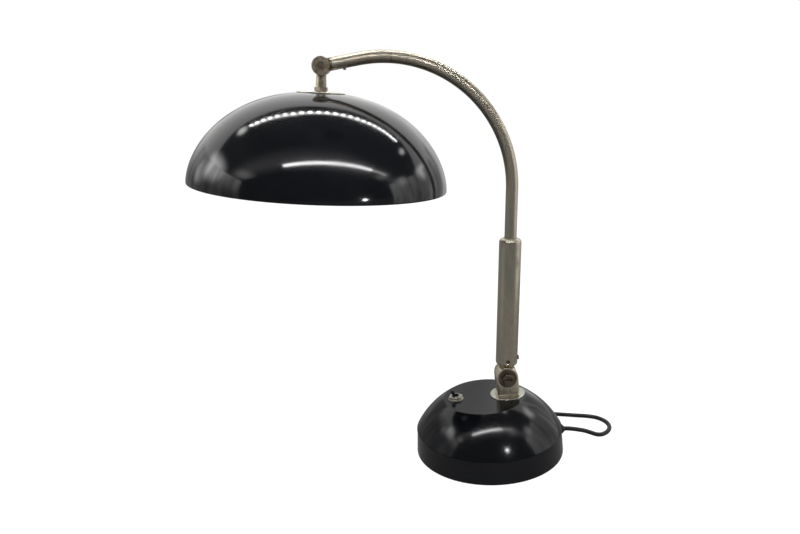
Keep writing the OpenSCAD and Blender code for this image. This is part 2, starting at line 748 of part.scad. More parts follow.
module holder_cap() color("#2a1a12") on_shade() difference() {
    union() {
        translate([0, 0, -holder_top - 4]) cylinder(r = 9, h = 4);
        translate([0, 0, -holder_split]) rotate_extrude() intersection() {
            union() {
                square([holder_r, 8]);
                translate([holder_r - 8, 8]) circle(8);
                square([holder_r - 8, 16]);
            }
            square([holder_r, 16]);
        }
    }
    translate([0, 0, -holder_split - 1]) turned(holder_r - holder_wall, 0, 13, 0, 5);
    translate([0, 0, -holder_split]) cylinder(r = stem_r + push, h = big);
}

module holder_body() color("#2a1a12") on_shade() difference() {
    translate([0, 0, -holder_low]) rotate_extrude() {
        square([holder_r, holder_low - holder_split]);
        translate([holder_r, 3]) circle(1.5);
        translate([holder_r, 9]) circle(1.5);
    }
    translate([0, 0, -holder_low - 1]) cylinder(r = holder_r - holder_wall, h = big);
}

module holder_shell() color("goldenrod") on_shade() {
    ring(cap_r + 1.2, cap_r + 0.3, -bulb_base - 24, -bulb_base + 2);
    ring(holder_r - holder_wall - push, stem_r, -bulb_base + 2, -bulb_base + 5);
}

module holder_contacts() color("gold") on_shade() {
    translate([-3, -1.5, -bulb_base + 0.2]) cube([6, 3, 1.8 - run]);
}

// Screw cap of the bulb, open at the glass, with its contact on top
module bulb_cap() color("silver") on_shade() translate([0, 0, -bulb_base - cap_l]) difference() {
    union() {
        cylinder(r = cap_r, h = cap_l - 4);
        translate([0, 0, cap_l - 4]) cylinder(r1 = cap_r, r2 = 5, h = 3);
        translate([0, 0, cap_l - 2]) cylinder(r = 4.8, h = 2);
    }
    translate([0, 0, -1]) cylinder(r = cap_r - cap_wall, h = cap_l - 4);
}

// Ball and neck of the bulb, drawn in by d for its inside
module bulb_ball(d, h) {
    translate([0, 0, -bulb_tip + bulb_d / 2]) sphere(bulb_d / 2 - d);
    translate([0, 0, -bulb_tip + bulb_d / 2])
        cylinder(r1 = bulb_d / 2 - 3 - d, r2 = cap_r + 0.4 - d, h = h);
}

module bulb_glass() color("white") on_shade() difference() {
    bulb_ball(0, neck_l);
    bulb_ball(glass_wall, neck_l + lap);
}

// ---- Cord ----

module cord_grommet() color("black") translate([0, 0, cord_h]) difference() {
    union() {
        bar_x(grommet_neck, skirt_in - 6, grommet_nose - 2);
        bar_x(grommet_r, base_r - 0.6, base_r + 1);
        translate([base_r + 1 - lap, 0, 0]) rotate([0, 90, 0])
            cylinder(r1 = grommet_r - 0.6, r2 = cord_r + 0.9, h = grommet_nose - base_r - 1 + lap);
        translate([skirt_in - 14, 0, 0]) rotate([0, 90, 0])
            cylinder(r1 = cord_r + 1, r2 = grommet_r, h = 11.4);
    }
    bar_x(cord_r + push, 0, big);
}

module cord_inner() color("black") translate([0, 0, cord_h]) bar_x(cord_r, 44, grommet_nose);

module clamp_places() {
    for (side = [-1, 1]) translate([clamp_x, side * clamp_pitch / 2, 0]) children();
}

module cord_clamp() color("goldenrod") {
    difference() {
        translate([clamp_x - 4, -10, ballast_bed + push]) cube([8, 20, cord_h + cord_r + 2 - ballast_bed]);
        translate([0, 0, cord_h]) bar_x(cord_r + push, 0, big);
        clamp_places() cylinder(r = 1.5, h = big);
    }
    clamp_places() translate([0, 0, ballast_bed - 5]) cylinder(r = 1.5 - push, h = 12);
    clamp_places() translate([0, 0, cord_h + cord_r + 2 + 2 * push]) cylinder(r = 2.6, h = 1.6);
}

// The two cores inside the base, on either side, from the cord to the switch
module base_leads() color("red") for (side = [-1, 1])
    swept_tube([for (p = lead_route) [p[0], side * p[1], p[2]]], lead_r, 8, [0, 1, 0.1 * side]);

module cord() color("black") swept_tube(cord_route, cord_r, 10);

module cord_coil() color("black") swept_tube(coil_route, cord_r, 6);

module cord_tail() color("black") swept_tube(tail_route, cord_r, 10);

// Band round the turns, on the side away from the plug
module cord_tie() color("black") translate([coil_x, coil_y, 0]) rotate(60) {
    inner = coil_in - cord_r - 0.4;
    outer = coil_out + cord_r + 0.2;
    top = coil_low + coil_pitch + cord_r + 0.2;
    difference() {
        translate([inner - tie_t, -tie_w / 2, 0.05]) cube([outer - inner + 2 * tie_t, tie_w, top + tie_t]);
        translate([inner, -tie_w, coil_lift - 0.15]) cube([outer - inner, 2 * tie_w, top - coil_lift + 0.15]);
    }
}

module on_plug() {
    translate(plug_start) rotate(plug_turn) children();
}

module plug_body() color("black") on_plug() {
    intersection() {
        rotate([0, 90, 0]) linear_extrude(plug_l) rounded_plan(plug_t, plug_w, 4);
        translate([0, 0, -plug_t / 2]) linear_extrude(plug_t) polygon([
            [0, -plug_neck_w / 2], [plug_shoulder, -plug_w / 2], [plug_l, -plug_w / 2],
            [plug_l, plug_w / 2], [plug_shoulder, plug_w / 2], [0, plug_neck_w / 2]]);
    }
}

module plug_pins() color("silver") on_plug() {
    for (side = [-1, 1]) translate([plug_l, side * blade_pitch / 2, 0]) rotate([90, 0, 0])
        linear_extrude(blade_t, center = true) difference() {
            translate([0, -blade_w / 2]) polygon([[0, 0], [blade_l - 1, 0], [blade_l, 1],
                [blade_l, blade_w - 1], [blade_l - 1, blade_w], [0, blade_w]]);
            translate([blade_l - 5, 0]) circle(1.5);
        }
}

base_shell();
base_ballast();
base_plate();
base_felt();
base_screws();
foot_clevis();
escutcheon();
foot_stud();
foot_nuts();
hinge_bolt();
hinge_washers();
hinge_nut();
switch_body();
switch_bush();
switch_nut();
switch_lever();
hinge_tongue();
sleeve();
sleeve_screws();
sleeve_bush();
thrust_washer();
arm_tube();
arm_collar();
arm_end();
arm_grub_screw();
arm_wire();
shade_knuckle();
knuckle_bolt();
knuckle_nut();
stem_nut();
shade_top_disc();
shade();
shade_lock_ring();
holder_cap();
holder_body();
holder_shell();
holder_contacts();
bulb_cap();
bulb_glass();
cord_grommet();
cord_inner();
cord_clamp();
base_leads();
cord();
cord_coil();
cord_tie();
cord_tail();
plug_body();
plug_pins();
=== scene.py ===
"""Dome shade desk lamp: its looks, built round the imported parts, with the camera and the light of the photograph."""

import math

import bmesh
import bpy
import numpy as np
from mathutils import Matrix, Vector


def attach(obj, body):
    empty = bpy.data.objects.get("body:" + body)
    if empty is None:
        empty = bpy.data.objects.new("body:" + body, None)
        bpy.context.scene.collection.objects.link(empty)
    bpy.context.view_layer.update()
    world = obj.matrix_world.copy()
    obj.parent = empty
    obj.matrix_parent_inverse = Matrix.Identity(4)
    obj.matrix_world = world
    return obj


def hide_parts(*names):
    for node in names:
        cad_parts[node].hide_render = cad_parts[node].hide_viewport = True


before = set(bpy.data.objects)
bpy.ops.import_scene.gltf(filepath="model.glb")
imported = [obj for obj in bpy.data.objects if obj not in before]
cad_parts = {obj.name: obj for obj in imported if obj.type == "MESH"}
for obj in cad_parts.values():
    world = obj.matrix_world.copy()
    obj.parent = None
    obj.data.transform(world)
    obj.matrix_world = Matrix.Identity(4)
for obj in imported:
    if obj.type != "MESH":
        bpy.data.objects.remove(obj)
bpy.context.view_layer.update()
scene = bpy.context.scene
MM = 0.001

# ---- Sizes shared with the parts, in millimetres and degrees ----

BASE_R = 81.0
SKIRT_TAPER = 1.4
CREASE_H = 26.5
DOME_R = 91.0
LIP_R = 80.1
FLAT_H = 62.5
FLAT_FORWARD = 3.8
FLAT_TILT = 2.8
BASE_WALL = 1.5
FOOT_GAP = 0.8
FOOT_X = 22.0
HINGE_H = 22.5
ARM_LEAN = 3.06
TUBE_R = 6.35
TUBE_FOOT = 41.0
POST_L = 204.2
BEND_R = 131.3
BEND_ANGLE = 100.06
TIP_L = 37.6
SHANK_END = 11.3
SHADE_TILT = 6.4
SHADE_R = 131.0
SHADE_DEPTH = 91.6
SHADE_WALL = 1.0
FULLNESS = 2.25
SHADE_DROP = 25.0
BULB_L = 78.0
CORD_D = 4.8
SWITCH_X = -35.1
DISC_R = 24.3

flat_slope = math.tan(math.radians(FLAT_TILT))
lean = math.radians(ARM_LEAN)
hinge = Vector((
    FOOT_X - HINGE_H * math.sin(math.radians(FLAT_TILT)),
    0,
    FLAT_H + (FOOT_X + FLAT_FORWARD) * flat_slope + HINGE_H * math.cos(math.radians(FLAT_TILT)),
))
arm_up = Vector((math.sin(lean), 0, math.cos(lean)))
bend_start = hinge + POST_L * arm_up
bend_mid = bend_start + BEND_R * Vector((-math.cos(lean), 0, math.sin(lean)))
tip_angle = math.radians(90 - ARM_LEAN + BEND_ANGLE)
tip_way = Vector((math.cos(tip_angle), 0, math.sin(tip_angle)))
bend_end = bend_mid + BEND_R * Vector((math.sin(tip_angle), 0, -math.cos(tip_angle)))
knuckle = bend_end + TIP_L * tip_way
dome_z = CREASE_H - math.sqrt(DOME_R**2 - LIP_R**2)

in_metres = Matrix.Scale(MM, 4)
on_shade = in_metres @ Matrix.Translation(knuckle) @ Matrix.Rotation(math.radians(SHADE_TILT), 4, "Y")


def on_flat(x):
    """Place on the base's flat at distance x from the middle, with +Z square to the flat."""
    at = Matrix.Translation((x, 0, FLAT_H + (x + FLAT_FORWARD) * flat_slope))
    return in_metres @ at @ Matrix.Rotation(math.radians(-FLAT_TILT), 4, "Y")


# ---- Camera ----

CAMERA_AT = (-75.149, -712.590, 392.788)
CAMERA_DOWN, CAMERA_ROLL, CAMERA_YAW = 0.2450, -0.0622, 0.0179
FOCAL_PIXELS, FRAME_WIDTH, SENSOR = 696.2336, 800, 36.0


def set_camera():
    down, roll, yaw = CAMERA_DOWN, CAMERA_ROLL, CAMERA_YAW
    look = Vector((-math.sin(yaw) * math.cos(down), math.cos(yaw) * math.cos(down), -math.sin(down)))
    level = Vector((math.cos(yaw), math.sin(yaw), 0))
    upright = level.cross(look)
    right = level * math.cos(roll) + upright * math.sin(roll)
    up = upright * math.cos(roll) - level * math.sin(roll)
    data = bpy.data.cameras.new("camera")
    data.sensor_width, data.sensor_fit = SENSOR, "HORIZONTAL"
    data.lens = FOCAL_PIXELS * SENSOR / FRAME_WIDTH
    data.clip_start, data.clip_end = 0.01, 50
    camera = bpy.data.objects.new("camera", data)
    scene.collection.objects.link(camera)
    turn = Matrix((right, up, -look)).transposed().to_4x4()
    camera.matrix_world = Matrix.Translation(Vector(CAMERA_AT) * MM) @ turn
    scene.camera = camera


set_camera()


# ---- Node helpers ----


class Nodes:
    """One node tree. add() makes a node and joins or sets its inputs by name or number."""

    def __init__(self, tree):
        self.tree = tree

    def put(self, value, socket):
        if isinstance(value, bpy.types.NodeSocket):
            self.tree.links.new(value, socket)
        else:
            socket.default_value = value

    def add(self, kind, inputs=None, **settings):
        node = self.tree.nodes.new(kind)
        for key, value in settings.items():
            setattr(node, key, value)
        for key, value in (inputs or {}).items():
            self.put(value, node.inputs[key])
        return node

    def math(self, operation, *values, clamp=False):
        return self.add("ShaderNodeMath", dict(enumerate(values)), operation=operation, use_clamp=clamp).outputs[0]

    def times(self, a, b):
        return self.math("MULTIPLY", a, b)

    def plus(self, a, b, clamp=False):
        return self.math("ADD", a, b, clamp=clamp)

    def minus(self, a, b):
        return self.math("SUBTRACT", a, b)

    def vector(self, operation, a, b):
        return self.add("ShaderNodeVectorMath", {0: a, 1: b}, operation=operation).outputs

    def span(self, value, low, high, out_low=0.0, out_high=1.0):
        """value taken smoothly from low..high to out_low..out_high, and held beyond them."""
        inputs = {"Value": value, "From Min": low, "From Max": high, "To Min": out_low, "To Max": out_high}
        return self.add("ShaderNodeMapRange", inputs, interpolation_type="SMOOTHSTEP").outputs[0]

    def mix(self, share, a, b):
        """Colour a, or b where share is 1."""
        node = self.add("ShaderNodeMix", {0: share}, data_type="RGBA")
        for key, value in ((6, a), (7, b)):
            self.put(value if isinstance(value, bpy.types.NodeSocket) else (*value, 1), node.inputs[key])
        return node.outputs[2]

    def group(self, tree, **inputs):
        node = self.add("ShaderNodeGroup", node_tree=tree)
        for key, value in inputs.items():
            self.put(value, node.inputs[key])
        return node.outputs

    def mask(self, tree, **inputs):
        return self.group(tree, **inputs)["Mask"]

    def here(self, stretch=None):
        """The object's own coordinates, stretched or as they are."""
        place = self.add("ShaderNodeTexCoord").outputs["Object"]
        return place if stretch is None else self.vector("MULTIPLY", place, stretch)[0]


SOCKETS = {float: "Float", int: "Int", tuple: "Vector"}


def new_group(name, inputs, outputs, kind="ShaderNodeTree"):
    """A node group and its helper, inputs and end node. Each input is named with its value, or with its kind."""
    tree = bpy.data.node_groups.new(name, kind)
    for label, value in inputs.items():
        socket = SOCKETS.get(type(value), value)
        made = tree.interface.new_socket(label, in_out="INPUT", socket_type=f"NodeSocket{socket}")
        if socket != value:
            made.default_value = value
    for label, socket in outputs.items():
        tree.interface.new_socket(label, in_out="OUTPUT", socket_type=f"NodeSocket{socket}")
    nodes = Nodes(tree)
    return tree, nodes, nodes.add("NodeGroupInput").outputs, nodes.add("NodeGroupOutput")


# ---- Effects that several finishes share ----


def make_patches():
    """Cloudy patches, as of tarnish, grease or uneven polish."""
    sizes = dict(Scale=60.0, Amount=0.5, Softness=0.2, Stretch=(1, 1, 1))
    tree, n, given, end = new_group("cloudy_patches", sizes, {"Mask": "Float"})
    place = n.here(given["Stretch"])
    cloud = n.add("ShaderNodeTexNoise", {
        "Vector": place, "Scale": given["Scale"], "Detail": 5.0, "Roughness": 0.62, "Distortion": 0.6,
    })
    edge = n.minus(0.72, n.times(given["Amount"], 0.44))
    low, high = n.minus(edge, given["Softness"]), n.plus(edge, given["Softness"])
    n.tree.links.new(n.span(cloud.outputs["Fac"], low, high), end.inputs["Mask"])
    return tree


def make_hairlines():
    """Fine scratches, long across the axes whose stretch is small."""
    tree, n, given, end = new_group("hairlines", dict(Stretch=(2000, 2000, 60), Share=0.3), {"Mask": "Float"})
    place = n.here(given["Stretch"])
    line = n.add("ShaderNodeTexNoise", {"Vector": place, "Scale": 1.0, "Detail": 2.0, "Roughness": 0.5})
    edge = n.minus(0.8, n.times(given["Share"], 0.4))
    n.tree.links.new(n.span(line.outputs["Fac"], edge, n.plus(edge, 0.12)), end.inputs["Mask"])
    return tree


def make_specks():
    """Small round specks, such as dust on lacquer or pits in plating."""
    tree, n, given, end = new_group("specks", dict(Scale=300.0, Size=0.12, Share=0.2), {"Mask": "Float"})
    place = n.here()
    cell = n.add("ShaderNodeTexVoronoi", {"Vector": place, "Scale": given["Scale"]}, feature="F1")
    draw = n.add("ShaderNodeSeparateColor", {0: cell.outputs["Color"]}).outputs[0]
    chosen = n.math("LESS_THAN", draw, given["Share"])
    dot = n.span(cell.outputs["Distance"], given["Size"], n.times(given["Size"], 0.5))
    n.tree.links.new(n.times(dot, chosen), end.inputs["Mask"])
    return tree


def make_eased_edges():
    """Edges eased to a small radius, and a mask of where they are."""
    sizes = dict(Radius=0.0004, Reach=0.2)
    tree, n, given, end = new_group("eased_edges", sizes, {"Normal": "Vector", "Edge": "Float"})
    eased = n.add("ShaderNodeBevel", {"Radius": given["Radius"]}, samples=6)
    facing = n.vector("DOT_PRODUCT", eased.outputs[0], n.add("ShaderNodeNewGeometry").outputs["Normal"])
    apart = n.minus(1.0, facing["Value"])
    n.tree.links.new(eased.outputs[0], end.inputs["Normal"])
    n.tree.links.new(n.span(apart, 0.0, given["Reach"]), end.inputs["Edge"])
    return tree


def make_wavy_skin():
    """Height of a skin that isn't quite even: long waves, and a fine orange peel."""
    tree, n, given, end = new_group("wavy_skin", dict(Wave=20.0, Peel=600.0, Share=0.2), {"Height": "Float"})
    place = n.here()
    wave = n.add("ShaderNodeTexNoise", {"Vector": place, "Scale": given["Wave"], "Detail": 1.0})
    peel = n.add("ShaderNodeTexNoise", {"Vector": place, "Scale": given["Peel"], "Detail": 2.0})
    both = n.plus(wave.outputs["Fac"], n.times(peel.outputs["Fac"], given["Share"]))
    n.tree.links.new(both, end.inputs["Height"])
    return tree


patches, hairlines, specks = make_patches(), make_hairlines(), make_specks()
eased_edges, wavy_skin = make_eased_edges(), make_wavy_skin()


# ---- Finishes ----


def new_finish(name, **constants):
    """A material, its node helper and its shader, with what is the same all over set on the shader."""
    material = bpy.data.materials.new(name)
    material.use_nodes = True
    n = Nodes(material.node_tree)
    shader = next(x for x in material.node_tree.nodes if x.type == "BSDF_PRINCIPLED")
    for key, value in constants.items():
        shader.inputs[key.replace("_", " ")].default_value = value
    return material, n, shader


def join(n, shader, colour, roughness, height=None, depth=0.0001, normal=None):
    """Joins the changing values to the shader."""
    links = n.tree.links
    links.new(colour, shader.inputs["Base Color"])
    links.new(roughness, shader.inputs["Roughness"])
    if height is not None:
        bump = n.add("ShaderNodeBump", {"Height": height, "Distance": depth, "Strength": 1.0})
        if normal is not None:
            links.new(normal, bump.inputs["Normal"])
        links.new(bump.outputs[0], shader.inputs["Normal"])


def black_lacquer(name, gloss, dust, wave):
    material, n, shader = new_finish(name, Specular_IOR_Level=0.4, IOR=1.5)
    smear = n.mask(patches, Scale=22.0, Amount=0.35, Softness=0.25)
    rub = n.mask(hairlines, Stretch=(900, 140, 900), Share=0.22)
    fleck = n.mask(specks, Scale=210.0, Size=0.09, Share=dust)
    grit = n.mask(specks, Scale=520.0, Size=0.1, Share=dust * 1.5)
    dirt = n.math("MAXIMUM", fleck, n.times(grit, 0.6))
    tone = n.mix(smear, (0.0018, 0.0022, 0.0031), (0.0034, 0.0039, 0.0050))
    tone = n.mix(n.times(dirt, 0.5), tone, (0.16, 0.155, 0.15))
    rough = n.plus(n.math("MULTIPLY_ADD", smear, 0.06, gloss), n.times(rub, 0.06))
    rough = n.plus(rough, n.times(dirt, 0.4))
    height = n.group(wavy_skin, Wave=wave, Peel=900.0, Share=0.02)["Height"]
    join(n, shader, tone, rough, height, depth=0.00022)
    return material


def white_enamel():
    material, n, shader = new_finish("white_enamel", Specular_IOR_Level=0.5)
    age = n.mask(patches, Scale=14.0, Amount=0.5, Softness=0.3)
    fleck = n.mask(specks, Scale=260.0, Size=0.1, Share=0.05)
    tone = n.mix(age, (0.80, 0.79, 0.74), (0.72, 0.69, 0.61))
    tone = n.mix(n.times(fleck, 0.7), tone, (0.30, 0.26, 0.20))
    height = n.group(wavy_skin, Wave=60.0, Peel=700.0, Share=0.2)["Height"]
    join(n, shader, tone, n.math("MULTIPLY_ADD", age, 0.12, 0.22), height, depth=0.00015)
    return material


def plated(name, clean, dull, brown, dullness, browning, polish, edge_tone, stretch=(1, 1, 1), ease=0.0004):
    """Old plating: clean metal, dull grey-green patches, small brown stains and rubbed edges."""
    material, n, shader = new_finish(name, Metallic=1.0)
    film = n.mask(patches, Scale=48.0, Amount=dullness, Softness=0.16, Stretch=stretch)
    stain = n.mask(patches, Scale=150.0, Amount=browning, Softness=0.07, Stretch=stretch)
    pit = n.mask(specks, Scale=900.0, Size=0.16, Share=0.25)
    line = n.mask(hairlines, Stretch=(1500, 1500, 180), Share=0.35)
    eased = n.group(eased_edges, Radius=ease, Reach=0.12)
    tone = n.mix(film, clean, dull)
    tone = n.mix(n.times(stain, 0.75), tone, brown)
    tone = n.mix(n.times(pit, 0.5), tone, [0.4 * c for c in brown])
    tone = n.mix(n.times(eased["Edge"], 0.55), tone, edge_tone)
    rough = n.plus(n.math("MULTIPLY_ADD", film, 0.12, polish), n.times(stain, 0.14))
    rough = n.plus(rough, n.times(line, 0.1))
    rough = n.plus(rough, n.times(pit, 0.2), clamp=True)
    hollow = n.plus(n.times(pit, 0.8), n.times(stain, 0.3))
    height = n.minus(n.times(line, 0.25), hollow)
    join(n, shader, tone, rough, height, depth=0.00003, normal=eased["Normal"])
    return material


def plain_metal(name, tone, worn, rough, grain=(400, 400, 400)):
    """Unplated metal with a grain, a thin film of dirt and eased edges."""
    material, n, shader = new_finish(name, Metallic=1.0)
    film = n.mask(patches, Scale=90.0, Amount=0.5, Softness=0.2)
    line = n.mask(hairlines, Stretch=grain, Share=0.5)
    eased = n.group(eased_edges, Radius=0.0003, Reach=0.15)
    colour = n.mix(film, tone, worn)
    colour = n.mix(n.times(eased["Edge"], 0.4), colour, [min(1, 1.5 * c) for c in tone])
    spread = n.plus(n.math("MULTIPLY_ADD", film, 0.15, rough), n.times(line, 0.12), clamp=True)
    join(n, shader, colour, spread, n.times(line, -1.0), depth=0.00002, normal=eased["Normal"])
    return material


def cast_iron():
    material, n, shader = new_finish("cast_iron", Metallic=0.6)
    rust = n.mask(patches, Scale=40.0, Amount=0.4, Softness=0.15)
    sand = n.group(wavy_skin, Wave=700.0, Peel=2200.0, Share=0.6)["Height"]
    tone = n.mix(rust, (0.07, 0.07, 0.072), (0.13, 0.07, 0.045))
    join(n, shader, tone, n.math("MULTIPLY_ADD", rust, 0.2, 0.6), sand, depth=0.0006)
    return material


def moulded(name, tone, mottle, rough, ease=0.0005):
    """Pressed resin or rubber: a mottled colour, handling marks and eased edges."""
    material, n, shader = new_finish(name, Specular_IOR_Level=0.45)
    cloud = n.mask(patches, Scale=130.0, Amount=0.35, Softness=0.12, Stretch=(1, 1, 0.4))
    rub = n.mask(hairlines, Stretch=(700, 700, 120), Share=0.3)
    eased = n.group(eased_edges, Radius=ease, Reach=0.2)
    colour = n.mix(cloud, tone, mottle)
    colour = n.mix(n.times(eased["Edge"], 0.25), colour, [c * 2 + 0.01 for c in mottle])
    spread = n.plus(n.math("MULTIPLY_ADD", cloud, 0.08, rough), n.times(rub, 0.12), clamp=True)
    peel = n.group(wavy_skin, Wave=150.0, Peel=1500.0, Share=0.15)["Height"]
    join(n, shader, colour, spread, peel, depth=0.00012, normal=eased["Normal"])
    return material


def felt():
    material, n, shader = new_finish("green_felt", Specular_IOR_Level=0.1, Sheen_Weight=0.4, Sheen_Roughness=0.5)
    fluff = n.mask(patches, Scale=900.0, Amount=0.5, Softness=0.25)
    worn = n.mask(patches, Scale=30.0, Amount=0.4, Softness=0.2)
    tone = n.mix(fluff, (0.022, 0.065, 0.035), (0.05, 0.12, 0.07))
    tone = n.mix(n.times(worn, 0.4), tone, (0.09, 0.11, 0.08))
    height = n.group(wavy_skin, Wave=1400.0, Peel=3000.0, Share=0.7)["Height"]
    join(n, shader, tone, n.math("MULTIPLY_ADD", fluff, 0.1, 0.85), height, depth=0.0009)
    return material


def fibre():
    material, n, shader = new_finish("fibre_washer", Specular_IOR_Level=0.2)
    strand = n.mask(hairlines, Stretch=(900, 200, 900), Share=0.6)
    tone = n.mix(strand, (0.22, 0.075, 0.035), (0.32, 0.13, 0.06))
    join(n, shader, tone, n.math("MULTIPLY_ADD", strand, 0.1, 0.65), strand, depth=0.0001)
    return material


def opal_glass():
    material, n, shader = new_finish(
        "opal_glass", IOR=1.5, Subsurface_Weight=0.25, Subsurface_Scale=0.004, Coat_Weight=0.5, Coat_Roughness=0.04
    )
    cloud = n.mask(patches, Scale=35.0, Amount=0.5, Softness=0.3)
    fleck = n.mask(specks, Scale=500.0, Size=0.12, Share=0.06)
    tone = n.mix(cloud, (0.86, 0.86, 0.84), (0.80, 0.80, 0.77))
    tone = n.mix(n.times(fleck, 0.35), tone, (0.5, 0.48, 0.42))
    join(n, shader, tone, n.math("MULTIPLY_ADD", cloud, 0.1, 0.22))
    return material


def cord_skin():
    """Smooth black flex: its pattern follows the cord's own UV map, metres along and turns around."""
    material, n, shader = new_finish("cord_skin", Specular_IOR_Level=0.4)
    along = n.add("ShaderNodeUVMap", uv_map="flow")
    stretched = n.add("ShaderNodeMapping", {"Vector": along.outputs[0], "Scale": (140, 22, 1)})
    flow = n.add("ShaderNodeTexNoise", {"Vector": stretched.outputs[0], "Scale": 1.0, "Detail": 3.0})
    dust = n.mask(specks, Scale=1100.0, Size=0.14, Share=0.12)
    tone = n.mix(n.span(flow.outputs["Fac"], 0.4, 0.65), (0.006, 0.006, 0.007), (0.012, 0.012, 0.013))
    tone = n.mix(n.times(dust, 0.35), tone, (0.12, 0.115, 0.11))
    rough = n.math("MULTIPLY_ADD", flow.outputs["Fac"], 0.25, 0.3)
    join(n, shader, tone, rough, flow.outputs["Fac"], depth=0.00008)
    return material


def woven_band():
    """Woven hook-and-loop band: ribs across it on its own UV map."""
    material, n, shader = new_finish("woven_band", Specular_IOR_Level=0.15, Sheen_Weight=0.3)
    along = n.add("ShaderNodeUVMap", uv_map="flow").outputs[0]
    warp = n.add("ShaderNodeTexWave", {"Vector": along, "Scale": 420.0, "Distortion": 0.6}, bands_direction="X")
    weft = n.add("ShaderNodeTexWave", {"Vector": along, "Scale": 380.0, "Distortion": 0.6}, bands_direction="Y")
    weave = n.times(warp.outputs["Fac"], weft.outputs["Fac"])
    fluff = n.mask(patches, Scale=1500.0, Amount=0.5, Softness=0.2)
    tone = n.mix(weave, (0.01, 0.01, 0.011), (0.035, 0.035, 0.037))
    tone = n.mix(n.times(fluff, 0.4), tone, (0.05, 0.05, 0.052))
    join(n, shader, tone, n.math("MULTIPLY_ADD", weave, -0.1, 0.9), weave, depth=0.0002)
    return material


lacquer = black_lacquer("black_lacquer", gloss=0.12, dust=0.05, wave=16.0)
shade_lacquer = black_lacquer("shade_lacquer", gloss=0.085, dust=0.02, wave=9.0)
enamel = white_enamel()
old_nickel = plated(
    "old_nickel", (0.56, 0.49, 0.39), (0.42, 0.40, 0.33), (0.26, 0.185, 0.12),
    0.50, 0.12, 0.25, (0.72, 0.66, 0.55), (1, 1, 0.22),
)
tube_nickel = plated(
    "tube_nickel", (0.51, 0.445, 0.355), (0.385, 0.365, 0.30), (0.24, 0.17, 0.11),
    0.50, 0.12, 0.34, (0.62, 0.56, 0.46), (1, 1, 0.22),
)
# Lighter copy of the old nickel for the foot and hinge tongue: partly their own brighter plating, partly painted light
# for the light that they catch.
foot_nickel_lit = plated(
    "foot_nickel_lit", (0.88, 0.80, 0.64), (0.62, 0.57, 0.44), (0.26, 0.18, 0.105),
    0.45, 0.25, 0.27, (0.95, 0.90, 0.76),
)
stem_nickel = plated(
    "stem_nickel", (0.345, 0.295, 0.225), (0.25, 0.22, 0.17), (0.14, 0.09, 0.055),
    0.50, 0.32, 0.26, (0.54, 0.48, 0.38), ease=0.0003,
)
bright_nickel = plated(
    "bright_nickel", (0.62, 0.60, 0.54), (0.45, 0.44, 0.37), (0.26, 0.20, 0.13),
    0.30, 0.08, 0.16, (0.80, 0.78, 0.70), ease=0.00025,
)
bronzed = plated(
    "bronzed_steel", (0.24, 0.20, 0.155), (0.15, 0.13, 0.105), (0.12, 0.075, 0.045),
    0.50, 0.40, 0.26, (0.50, 0.43, 0.34), ease=0.0003,
)
steel = plain_metal("dull_steel", (0.34, 0.34, 0.335), (0.21, 0.20, 0.185), 0.32)
brass = plain_metal("dull_brass", (0.52, 0.37, 0.15), (0.30, 0.20, 0.085), 0.26)
tin = plain_metal("bulb_tin", (0.62, 0.62, 0.60), (0.45, 0.44, 0.41), 0.24, grain=(200, 200, 1800))
iron, green_felt, fibre_red, opal = cast_iron(), felt(), fibre(), opal_glass()
phenolic = moulded("brown_resin", (0.030, 0.014, 0.009), (0.055, 0.026, 0.015), 0.22)
lever_black = moulded("lever_black", (0.006, 0.006, 0.006), (0.011, 0.010, 0.010), 0.18, ease=0.0003)
rubber = moulded("black_rubber", (0.009, 0.009, 0.009), (0.014, 0.014, 0.014), 0.42)
core_red = moulded("core_red", (0.22, 0.045, 0.035), (0.15, 0.030, 0.024), 0.5)
flex, band = cord_skin(), woven_band()

CAD_FINISHES = {
    old_nickel: ("sleeve",),
    stem_nickel: ("arm_end", "shade_knuckle", "stem_nut"),
    # The foot and tongue take the lighter nickel with its painted light.
    foot_nickel_lit: ("foot_clevis", "hinge_tongue"),
    bright_nickel: ("escutcheon", "switch_bush", "switch_nut", "shade_top_disc", "plug_pins"),
    bronzed: (
        "hinge_bolt", "hinge_washers", "hinge_nut", "sleeve_screws", "arm_grub_screw", "knuckle_bolt", "knuckle_nut",
    ),
    steel: ("base_plate", "base_screws", "foot_nuts", "shade_lock_ring"),
    brass: ("foot_stud", "sleeve_bush", "arm_collar", "holder_shell", "holder_contacts", "cord_clamp"),
    tin: ("bulb_cap",),
    iron: ("base_ballast",),
    green_felt: ("base_felt",),
    fibre_red: ("thrust_washer",),
    opal: ("bulb_glass",),
    phenolic: ("switch_body", "holder_cap", "holder_body"),
    lever_black: ("switch_lever",),
    rubber: ("cord_grommet", "cord_inner"),
    core_red: ("base_leads", "arm_wire"),
}
for finish, names in CAD_FINISHES.items():
    for name in names:
        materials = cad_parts[name].data.materials
        materials.clear()
        materials.append(finish)


# ---- Making pieces ----


def ring_faces(rings, around, closed=False):
    """Quads between neighbouring rings of points, each `around` long, laid one after another."""
    faces = []
    for i in range(rings if closed else rings - 1):
        low, high = i * around, (i + 1) % rings * around
        for k in range(around):
            j = (k + 1) % around
            faces.append((low + k, low + j, high + j, high + k))
    return faces


def tube_faces(rings, around):
    """The same, closed by a face at each end."""
    end = rings * around
    return ring_faces(rings, around) + [tuple(range(around))[::-1], tuple(range(end - around, end))]


def finish_mesh(mesh, sharp=40.0):
    """Faces pointing out, smooth but for edges sharper than the angle."""
    b = bmesh.new()
    b.from_mesh(mesh)
    bmesh.ops.remove_doubles(b, verts=b.verts, dist=1e-7)
    bmesh.ops.recalc_face_normals(b, faces=b.faces)
    b.to_mesh(mesh)
    b.free()
    mesh.polygons.foreach_set("use_smooth", [True] * len(mesh.polygons))
    mesh.set_sharp_from_angle(angle=math.radians(sharp))
    mesh.update()


